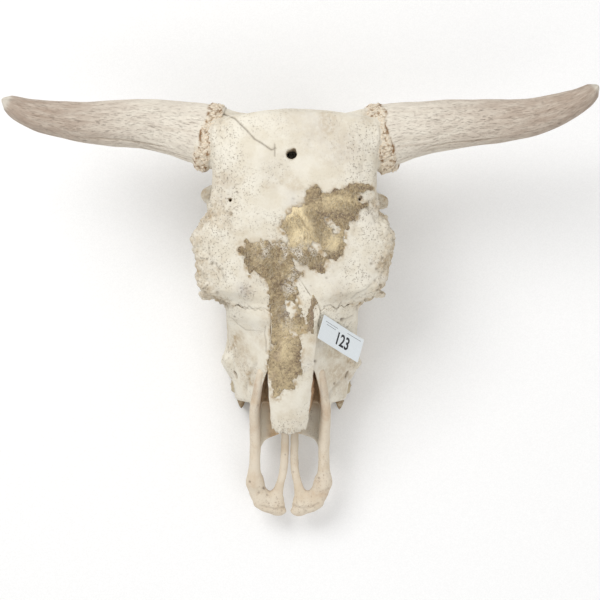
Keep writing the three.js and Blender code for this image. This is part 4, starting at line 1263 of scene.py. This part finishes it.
def hornCore(s, side):
    # rings round a smooth path: radius(t), plus noise drawn out along the core for its grooves and ridges,
    # and a knobby burr at the root
    horn = horns[s]
    rows, around = int(320 / rough), int(230 / rough)
    path = smoothPath(horn["path"], 400)
    length = np.concatenate([[0], np.cumsum(np.linalg.norm(np.diff(path, axis=0), axis=1))])
    total = length[-1]
    root = length[np.argmin(np.linalg.norm(path - horn["base"], axis=1))] / total
    t = np.linspace(root - 0.036, 1, rows)
    middle = np.stack([np.interp(t * total, length, path[:, k]) for k in range(3)], 1)
    tangent = np.gradient(middle, axis=0)
    tangent /= np.linalg.norm(tangent, axis=1, keepdims=True)
    sideways = np.cross(tangent, (0, 0, 1))
    sideways /= np.linalg.norm(sideways, axis=1, keepdims=True)
    up = np.cross(sideways, tangent)
    angle = np.linspace(0, 2 * math.pi, around, endpoint=False)
    shape = np.cos(angle)[:, None] * sideways[:, None] + np.sin(angle)[:, None] * 0.94 * up[:, None]
    t = t[:, None]
    far = (t - root) * total

    def onRing(radius, turn, along):
        return spots(radius * np.cos(turn), radius * np.sin(turn), along)

    drift = spots(far, 0, 0)
    turn = angle + 0.25 * cloud(drift, 60, 80 + s, 2)
    front = 0.0 if s > 0 else math.pi
    below = bell(np.sin((angle - front) / 2), 0.42)
    flutes = cloud(onRing(30, turn, far * 0.05), 3.0, 83 + s, 2)
    fluting = ramp(far, 11, 18) * ramp(far, 120, 30) * (0.3 + 0.7 * below)
    gully = bell(angle - front - 0.62 * s - 0.04 * cloud(drift, 14, 88, 2), 0.045)
    gully = gully * ramp(far, 34, 60) * ramp(far, 140, 105)
    ridge = (cloud(onRing(14, turn, far * 0.05), 6.0, 90 + s, 3) * ramp(far, 6, 26)
             * (1 - 0.5 * ramp(t, 0.8, 1)))
    lumps = cloud(onRing(30, angle, far), 26, 94 + s, 2)
    onRoot = onRing(35, angle, far)
    wavy = far + 2.6 * cloud(onRoot, 12, 105 + s, 2)
    knob, own = cells(onRoot + 0.8 * cloud(onRoot, 5, 97, 1)[..., None], 3.0, 99 + s)
    burrEnd = horn["burrEnd"]
    burr = ramp(wavy, -9, -4) * ramp(wavy, burrEnd, burrEnd - 5)
    radius = hornRadius(t) * (0.08 + 0.92 * np.sqrt(np.clip((1 - t) / 0.03, 0, 1)))
    radius = radius + 0.5 * flutes * fluting - 1.3 * gully + 0.4 * ridge + 0.5 * lumps
    radius = radius + burr * (0.9 + 2.7 * (0.85 - knob) * (0.45 + 0.8 * own) + 3.2 * below**3)
    # painted shade: dark beaded lines along the burr's two edges, the one nearer the skull a shadow line
    # where burr meets bone, and dark gaps between the knobs
    borders = bell(wavy + 4.5, 1.5) + bell(wavy - burrEnd + 3, 1.5)
    crevice = borders * ramp(cloud(onRoot, 3.4, 108, 2), -0.15, 0.45)
    crevice = crevice + 0.75 * burr * ramp(knob, 0.52, 0.75) * (own > 0.35)
    tone = 0.09 * np.sin(math.pi * t) ** 2 if s > 0 else -0.06 * np.sin(2 * math.pi * t)
    masks = {"tip": t + tone + 0 * radius, "groove": ramp(-flutes, 0.15, 0.8) * fluting + gully,
             "burr": burr * (0.75 + 0.5 * own), "crevice": crevice}
    grid = middle[:, None] + shape * radius[..., None]
    uv = spots(0.1 * np.abs(angle - math.pi), far / 1000, 0)[..., :2]
    attach(tubeMesh("hornCore" + side.capitalize(), grid, hornLook, masks, uv), "horn_bone",
           "horn_core_" + side)


for s, side in ((1, "left"), (-1, "right")):
    hornCore(s, side)
print("horn cores made")


# cheek teeth

teeth = {"first": -121, "lengths": (17, 18, 18, 23.5, 26, 28), "halfWidth": (4.6, 9.5, 10.5, 12, 13, 12.5),
         "reach": 53.5, "bulge": 7.5, "root": 30, "wallShare": 0.55}


def cheekTooth(s, start, span, half, count):
    # rings from the root down to the biting edge, then inward over crescent ridges to the middle
    rows, around = 34, 56
    mid = start + span / 2
    reach = teeth["reach"] + teeth["bulge"] * math.sin(
        math.pi * (mid - teeth["first"]) / sum(teeth["lengths"]))
    molar = count > 2
    angle = np.linspace(0, 2 * math.pi, around, endpoint=False)
    k = 3.4 if count > 0 else 1.3
    box = (np.abs(np.cos(angle)) ** k + np.abs(np.sin(angle)) ** k) ** (-1 / k)
    ca, cb = box * np.cos(angle), box * np.sin(angle)
    v, wall = np.linspace(0, 1, rows)[:, None], teeth["wallShare"]
    shrink = np.sqrt(np.clip(1 - (v - wall) / (1 - wall), 0, 1))
    inner = shrink < 0.98
    cusp = np.abs(np.sin(math.pi * ca)) if molar else 1 - np.abs(ca)
    brim = 0.2 + 2.6 * (1 - cusp)
    heights = np.where(v < wall, teeth["root"] + (brim - teeth["root"]) * v / wall,
                       brim + (2.0 - brim) * ramp(v, 0.6, 0.8))
    lobes = 1 - (0.10 if molar else 0.04) * bell(ca, 0.13) + 0.03 * np.cos(ca * 9)
    a, b = ca * shrink, cb * np.where(cb > 0, lobes, 0.95 * lobes) * shrink
    local = (2 * a + 1) % 2 - 1 if molar else a
    crescents = sum(bell(np.hypot(local * 0.9, b - at) - radius, 0.10)
                    for at, radius in ((-0.42, 0.55), (0.35, 0.50)))
    pulp = a**2 + b**2
    relief = np.where(inner, 1.6 - 1.9 * crescents + 1.6 * np.exp(-pulp / 0.05), 0)
    z = heights + np.maximum(relief, -1.5) * ramp(1 - shrink, 0.0, 0.1)
    grow = 1 - 0.05 * ramp(z, 10, 24)
    ribs = 0.9 * np.cos(ca * (9.4 if molar else 6.3)) + 0.3 * np.cos(ca * 21)
    ribs = np.where(inner, 0, ribs * ramp(z, 25, 15) * (np.abs(cb) > 0.55))
    y = mid + a * (span / 2 + 0.5) * grow
    grid = spots(s * reach + b * (half * grow + ribs) * s + midline(y), y, np.maximum(z, 0.05))
    # darker on the chewing face away from the crescent ridges and up the sides towards the jaw; the first
    # tooth is stained darker all over
    wear = {"stain": 0.3 + 0.4 * ramp(z, 22, 12) * ~inner + (0.7 if count == 0 else 0.0), "pore": 0.2 + 0 * z,
            "grime": np.where(inner, 0.75 - 0.7 * np.clip(crescents, 0, 1), 0.25 * ramp(z, 10, 20)),
            "hollow": np.where(inner, 0.5 * np.exp(-pulp / 0.04), 0)}
    return grid, wear


for s, side in ((1, "Left"), (-1, "Right")):
    start = teeth["first"] - (1.4 if s > 0 else 0)
    for count, (span, half) in enumerate(zip(teeth["lengths"], teeth["halfWidth"])):
        grid, wear = cheekTooth(s, start, span, half, count)
        attach(tubeMesh("tooth" + side + str(count + 2), grid, enamelLook, wear), "bone")
        start += span
print("teeth made")


# inside of the nose

nose = {  # the two curled bones: place across, width, depth below the roof, low edge, ends, seed
    "turn": 1.7 * math.pi, "sheet": 1.1, "highest": 124,
    "septumBack": -38, "septumFront": -118, "septumFoot": 38.5,
    "noseScroll": (17, 9.5, 8, 52, (-46, -126), 120),
    "noseCurl": (11, 6.0, 7, 84, (-40, -112), 130),
}


def flatMasks(grid, **shares):
    return {key: np.full(grid.shape[:2], share) for key, share in shares.items()}


def scroll(s, side, kind):
    # a thin curled sheet along y, rolled in section, crumpled by noise
    x, width, below, low, ends, seed = nose[kind]
    x, seed = s * x, seed + s
    y = np.linspace(*ends, int(110 / rough))[:, None]
    top = np.minimum(nasalTop(y) - below, nose["highest"])
    turn = np.linspace(0, nose["turn"], 26)
    curl = (1 - 0.5 * turn / nose["turn"]) * width
    crumple = cloud(spots(y, turn * 8, seed), 9, seed, 3)
    size = np.sin(np.clip((y - ends[1]) / (ends[0] - ends[1]), 0.02, 0.98) * math.pi) ** 0.4
    sides = [spots(x + midline(y) + size * (roll * np.cos(turn) + crumple), y,
                   (top + low) / 2 + size * ((top - low) / 2 / width * roll * np.sin(turn) + crumple))
             for roll in (curl, curl - nose["sheet"])]
    grid = np.concatenate([sides[0], sides[1][:, ::-1]], axis=1)
    # the sheet inside the nose is darkened evenly by the painted-shade share, with a flat brown stain
    attach(tubeMesh(kind + side, grid, noseLook, flatMasks(grid, stain=0.5, grime=0.3, pore=0.9)), "bone")


for s, side in ((1, "Left"), (-1, "Right")):
    for kind in ("noseScroll", "noseCurl"):
        scroll(s, side, kind)


def septum():
    # an upright sheet on the midline from the palate to the nasal bones, with a ragged front edge
    rows, m = int(120 / rough), int(50 / rough)
    h = np.linspace(0, 1, m)
    back, front, bottom = (nose["septum" + key] for key in ("Back", "Front", "Foot"))
    ragged = 9 * cloud(spots(0, 0, h * 60), 14, 141, 3)
    y = back + (front - back + ragged - 16 * h) * np.linspace(0, 1, rows)[:, None]
    z = bottom + (nasalTop(y) - 5 - bottom) * h
    wobble = 0.8 * cloud(spots(y, z, 0), 22, 145, 2) + midline(y)
    thick = 1.0 + 1.5 * ramp(z, 50, 38)
    grid = np.concatenate([spots(wobble + thick, y, z), spots(wobble - thick, y, z)[:, ::-1]], axis=1)
    # the septum inside the nose is darkened evenly by the painted-shade share, with a flat brown stain
    attach(tubeMesh("noseSeptum", grid, noseLook, flatMasks(grid, stain=0.4, grime=0.2, pore=1.0)), "bone")


septum()
print("nose lining made")


# dried hide

def boneTop(x, y):
    # the highest bone under each place: the clay's last filled cell in the column, or a nasal bone's roof
    i, j = (np.clip((at - head.axis[k][0]) / head.step, 0, len(head.axis[k]) - 2)
            for k, at in ((0, x), (1, y)))
    i0, j0 = i.astype(int), j.astype(int)
    fi, fj = i - i0, j - j0

    def column(a, b):
        value = head.value[a, b]
        last = value.shape[1] - 1 - np.argmax(value[:, ::-1] < 0, axis=1)
        rows = np.arange(len(value))
        low, high = value[rows, last], value[rows, np.minimum(last + 1, value.shape[1] - 1)]
        return head.axis[2][last] + head.step * np.clip(low / (low - high - 1e-6), 0, 1)
    z = ((1 - fi) * (1 - fj) * column(i0, j0) + fi * (1 - fj) * column(i0 + 1, j0)
         + (1 - fi) * fj * column(i0, j0 + 1) + fi * fj * column(i0 + 1, j0 + 1))
    side = x - midline(y)
    share = np.abs(side) / nasalWidth(side, y)
    roof = np.where((share < 1) & (y < 30), nasalTop(y) - nasalDrop(y) * np.minimum(share, 1) ** 2.2, 0)
    return np.maximum(z, roof)


hide = {
    "net": 0.9, "probe": 0.3, "thin": 0.15,
    "hairs": 1500, "hairLength": (2.5, 6.5), "hairAim": -1.9, "hairHalf": 0.16,
}


def hideGrid():
    # a fine net over the outline: the cells inside, whose edge points are drawn onto the ragged edge
    size, probe = hide["net"] * rough, hide["probe"]
    gx, gy = np.meshgrid(np.arange(-72, 84, size), np.arange(-112, 128, size), indexing="ij")
    x, y = gx.ravel(), gy.ravel()

    def edge(x, y):
        u, v = plan(x, y, place["markLevel"] + 0.25 * (y + 8))
        spot = spots(x, y, 0)
        d = np.minimum(insideDistance(u, v, hideEdge), insideDistance(u, v, hideStrip))
        for hole in hideGaps:
            d = np.maximum(d, -insideDistance(u, v, hole))
        d = d + 1.3 * cloud(spot, 10, 200, 2)
        return (d + 1.9 * cloud(spot, 3.4, 205, 2) * ramp(d, -7, -1)
                + 2.5 * ramp(cloud(spot, 5, 208, 2), 0.55, 1.1))
    d = edge(x, y)
    quads = gridQuads(*gx.shape)
    quads = quads[(d < 0)[quads].sum(1) >= 3]
    used, corners = np.unique(quads, return_inverse=True)
    x, y, d = x[used], y[used], d[used]
    for _ in range(2):
        near = d > -0.8 * size
        ex, ey = (edge(x + probe, y) - d) / probe, (edge(x, y + probe) - d) / probe
        pull = 0.7 * d / np.maximum(ex**2 + ey**2, 0.3)
        x, y = np.where(near, x - pull * ex, x), np.where(near, y - pull * ey, y)
        d = edge(x, y)
    return x, y, d, corners.reshape(quads.shape)


def driedHide():
    # a sheet on the bone: the lower side lifts here and there at the edge, the upper adds a thickness
    # that is puckered by noise
    x, y, d, quads = hideGrid()
    spot = spots(x, y, 0)
    base = boneTop(x, y)
    base = base + 0.2 + 0.42 * cloud(spots(x, y, base), 34, 0, 2)
    inward = ramp(-d, 0, 6)
    lift = ramp(cloud(spot, 14, 210, 2), 0.4, 1.1) * ramp(-d, 5, 0) * 0.9
    puckers = 0.6 * np.abs(cloud(spot * (1, 0.6, 1), 7, 214, 3)) + 0.45 * cloud(spot, 2.6, 219, 2)
    thick = hide["thin"] + 0.45 * inward + puckers * (0.2 + 0.8 * inward)
    under = base + 0.6 * lift
    top = under + np.maximum(thick, hide["thin"]) + 0.4 * lift
    points = np.concatenate([spots(x, y, top), spots(x, y, under)])
    u, v = plan(*points.T)
    wide = cloud(points, 15, 230, 3)

    def close(*marks):
        # the sum of strength x exp(-(distance to the line / radius)^2) over (strength, radius, places)
        return sum(strength * bell(nearPath(u, v, places), radius) for strength, radius, places in marks)
    crown = [(-3.7, 86.3), (2.6, 72.7)]
    masks = {
        "gold": close((1.3, 14, crown), (0.6, 9, [(29.0, 103.2), (46.9, 103.2)]),
                      (0.45, 8, [(38.4, 63.2), (35.3, 56.9)]),
                      (0.3, 11, [(-20.5, -31.6), (-17.4, -89.5)])) + 0.35 * ramp(wide, 0.1, 0.8),
        "fleece": ramp(cloud(points * (1, 0.7, 1), 7, 234, 3), -0.25, 0.5) * np.clip(close(
            (1.2, 12, [(-32.1, 54.8), (-13.2, 48.4), (12.1, 50.5)]), (1, 6, [(34.2, 82.1), (38.4, 73.7)]),
            (0.9, 8, [(-2.6, 29.5), (-9.0, 15.8)]), (0.5, 10, [(-11.1, 10.5), (-14.2, -21.1)])), 0, 1),
        "dark": close((0.8, 4, [(39.5, 115.8), (54.2, 119.0), (77.4, 116.9)]),
                      (1, 7, [(-61.6, 52.6), (-52.1, 29.5)]), (1, 5, [(30.0, 45.3), (40.5, 47.4)]),
                      (0.9, 6, [(23.7, 90.6), (39.5, 88.5), (56.3, 88.5)]),
                      (0.7, 4, [(67.9, 101.1), (69.0, 96.9)]), (0.6, 5, [(18.4, 31.6), (24.7, 37.9)]),
                      (0.6, 4, [(-0.5, -47.4), (-1.6, -89.5)]), (0.5, 3, [(-18.4, 73.7), (-16.3, 87.4)]))
        + 0.7 * ramp(-wide, 0.45, 1.0) * (1 - close((1, 14, crown))),
        "purple": ramp(nearPath(u, v, [(14.2, 0.0), (13.2, -12.6), (10.0, -32.6)]), 4.5, 1.5)
        + 0.6 * ramp(nearPath(u, v, [(-23.7, -31.6), (-25.8, -89.5)]), 7, 2) * ramp(wide, 0, 0.6),
    }
    attach(makeMesh("driedHide", points, sheetFaces(quads, len(x)), hideLook, masks), "hide", "dried_hide")
    return x, y, d, top


hideSkin = driedHide()
print("hide made")


def hairs():
    # short flat hairs: a ribbon of three steps that leans with the coat and curves down to the hide
    x, y, d, top = hideSkin
    rng = np.random.default_rng(7)
    spot = spots(x, y, 0)
    chance = ramp(-d, 0.5, 3) * (0.12 + ramp(cloud(spot, 10, 240, 2), 0.0, 0.8)) * ramp(y, -60, 0)
    count = int(hide["hairs"] / rough)
    root = rng.choice(len(x), count, p=chance / chance.sum())
    aim = (hide["hairAim"] + 0.8 * cloud(spot[root], 18, 244, 2) + rng.normal(0, 0.45, count))[:, None]
    reach = rng.uniform(*hide["hairLength"], count)[:, None]
    t = np.linspace(0, 1, 4)
    px = x[root][:, None] + rng.uniform(-0.5, 0.5, (count, 1)) + np.cos(aim) * reach * t
    py = y[root][:, None] + rng.uniform(-0.5, 0.5, (count, 1)) + np.sin(aim) * reach * t
    pz = top[root][:, None] - 0.1 + rng.uniform(0.5, 1.6, (count, 1)) * np.sin(t * 2.6) + 0.15
    pz = np.maximum(pz, boneTop(px.ravel(), py.ravel()).reshape(px.shape) + 0.5)
    half, thick = hide["hairHalf"] * (1 - 0.75 * t), 0.10 * (1 - 0.6 * t)
    nx, ny = -np.sin(aim) * half, np.cos(aim) * half
    corner = [spots(px + nx, py + ny, pz), spots(px - nx, py - ny, pz), spots(px, py, pz + thick)]
    points = np.stack(corner, 2).reshape(-1, 3)
    base = np.arange(count)[:, None, None] * 12
    quads = (base + gridQuads(4, 3, closed=True)[:, [0, 3, 2, 1]]).reshape(-1, 4)
    tris = (base + np.array([(0, 2, 1), (9, 10, 11)])).reshape(-1, 3)
    look, w, shader = newLook("hideHair", 0.3)
    tones = w.blend(w.spread(w.mask("tone"), 0.2, 0.8), (0.50, 0.38, 0.21), (0.70, 0.62, 0.47))
    w.plug(shader, {"Base Color": tones, "Roughness": 0.7})
    piece = listMesh("hideHairs", points, quads.tolist() + tris.tolist(), look)
    flatAt = np.stack([(x[root] + 75) / 260, (y[root] + 115) / 260], 1)
    local = np.array([(c / 3 * 0.002, k / 4 * 0.003) for k in range(4) for c in range(3)])
    corners = np.concatenate([quads.ravel(), tris.ravel()])
    setUv(piece.data, "OFBake", (flatAt[:, None] + local).reshape(-1, 2), corners)
    addMasks(piece.data, {"tone": np.repeat(rng.random(count), 12)})
    attach(piece, "hide")


hairs()
print("hairs made")


# card

tag = {
    "centre": (43.2, -41.4, 123.6), "along": (44.4, -28.4, -62), "lean": (4.9, 25.2, -3),
    "length": 80, "width": 26, "thick": 0.5, "corner": 1.1,
    "number": "123", "numberHeight": 13, "numberAt": (4, -2), "printHeight": 0.05,
    "rules": [(-22, 8, 24), (-22, 5.5, 18), (22, 9.5, 26)], "ruleHeight": 0.5,  # along, up, length
}
tagAlong = np.array(tag["along"], float)
tagAlong /= np.linalg.norm(tagAlong)
tagNormal = np.cross(tagAlong, tag["lean"])
tagNormal /= np.linalg.norm(tagNormal)
tagUp = np.cross(tagNormal, tagAlong)


def onTag(a, b, c):
    # card coordinates to the skull's: a along, b up the card, c out of it, with a faint curl
    # c + 0.9 (2a/length)^2
    bent = c + 0.9 * (2 * a / tag["length"]) ** 2 - 0.14 * np.sin(a / 9)
    return (np.array(tag["centre"]) + a[..., None] * tagAlong + b[..., None] * tagUp
            + bent[..., None] * tagNormal)


def card():
    # a flat net whose four corners are drawn in to a small radius
    span, tall, rim = tag["length"] / 2, tag["width"] / 2, tag["corner"]
    a, b = np.meshgrid(np.linspace(-span, span, 81), np.linspace(-tall, tall, 27), indexing="ij")
    ax, bx = np.abs(a) - span + rim, np.abs(b) - tall + rim
    out = np.hypot(ax, bx)
    atCorner = (ax > 0) & (bx > 0)
    pull = np.where(out > rim, rim / np.maximum(out, 1e-6), 1)
    a = np.where(atCorner, np.sign(a) * (span - rim + ax * pull), a)
    b = np.where(atCorner, np.sign(b) * (tall - rim + bx * pull), b)
    points = np.concatenate([onTag(a, b, s * tag["thick"] / 2).reshape(-1, 3) for s in (1, -1)])
    faces = sheetFaces(gridQuads(*a.shape), a.size)
    attach(makeMesh("lotCard", points, faces, cardLook, {}, smooth=False), "card", "lot_tag")


def lettering(name, text, height, at, look):
    # text turned into a mesh, then laid on the card point by point
    curve = bpy.data.curves.new(name, "FONT")
    curve.body = text
    curve.size = height / 0.7
    curve.align_x = curve.align_y = "CENTER"
    curve.extrude = 0.04
    curve.offset = height * 0.03
    holder = linked(name + "Curve", curve)
    bpy.context.view_layer.update()
    mesh = bpy.data.meshes.new_from_object(holder.evaluated_get(bpy.context.evaluated_depsgraph_get()))
    bpy.data.objects.remove(holder)
    a, b, c = meshPoints(mesh).T
    placed = onTag(a + at[0], b + at[1], c + tag["thick"] / 2 + tag["printHeight"])
    mesh.vertices.foreach_set("co", toWorld(placed).astype(np.float32).ravel())
    mesh.materials.clear()
    mesh.materials.append(look)
    mesh.update()
    attach(linked(name, mesh), "card")


def ruleLine(name, along, up, span):
    # a thin grey bar printed on the card
    a, b, c = np.meshgrid(np.linspace(-0.5, 0.5, 13) * span + along,
                          np.array([-0.5, 0.5]) * tag["ruleHeight"] + up,
                          np.array([0.0, tag["printHeight"]]), indexing="ij")
    grid = onTag(a, b, c + tag["thick"] / 2)
    grid = np.stack([grid[:, 0, 0], grid[:, 1, 0], grid[:, 1, 1], grid[:, 0, 1]], 1)
    attach(tubeMesh(name, grid, ruleLook), "card")


card()
lettering("lotNumber", tag["number"], tag["numberHeight"], tag["numberAt"], inkLook)
for k, rule in enumerate(tag["rules"]):
    ruleLine("printLine" + str(k + 1), *rule)
print("card made")


# floor, light and camera

def floor(half=6.0, z=-0.0005):
    mesh = bpy.data.meshes.new("floor")
    mesh.from_pydata([(-half, -half, z), (half, -half, z), (half, half, z), (-half, half, z)], [],
                     [(0, 1, 2, 3)])
    mesh.materials.append(floorLook)
    linked("floor", mesh)


def softLight(name, at, size, watts):
    lamp = bpy.data.lights.new(name, "AREA")
    lamp.size = size
    lamp.energy = watts
    piece = linked(name, lamp)
    piece.location = at
    direction = mathutils.Vector(light["aim"]) - mathutils.Vector(at)
    piece.rotation_euler = direction.to_track_quat("-Z", "Y").to_euler()


light = {
    "world": (1.0, 0.995, 0.985), "worldStrength": 0.60, "aim": (0, 0, 0.1),
    "keyLight": ((-0.9, 1.1, 1.9), 1.2, 26.5),  # place, size, watts
    "fillLight": ((0.6, -1.1, 1.8), 1.6, 11.5),
}
view = {"lens": 111.1, "sensor": 36}
floor()
world = bpy.data.worlds.new("studio")
world.use_nodes = True
background = world.node_tree.nodes["Background"].inputs
background["Color"].default_value = rgb(light["world"])
background["Strength"].default_value = light["worldStrength"]
bpy.context.scene.world = world
bpy.context.scene.view_settings.view_transform = "Standard"
for name in ("keyLight", "fillLight"):
    softLight(name, *light[name])

camera = bpy.data.cameras.new("view")
camera.lens = view["lens"]
camera.sensor_width = view["sensor"]
viewer = linked("view", camera)
viewer.location = toWorld((0, 0, place["eyeHeight"]))
bpy.context.scene.camera = viewer
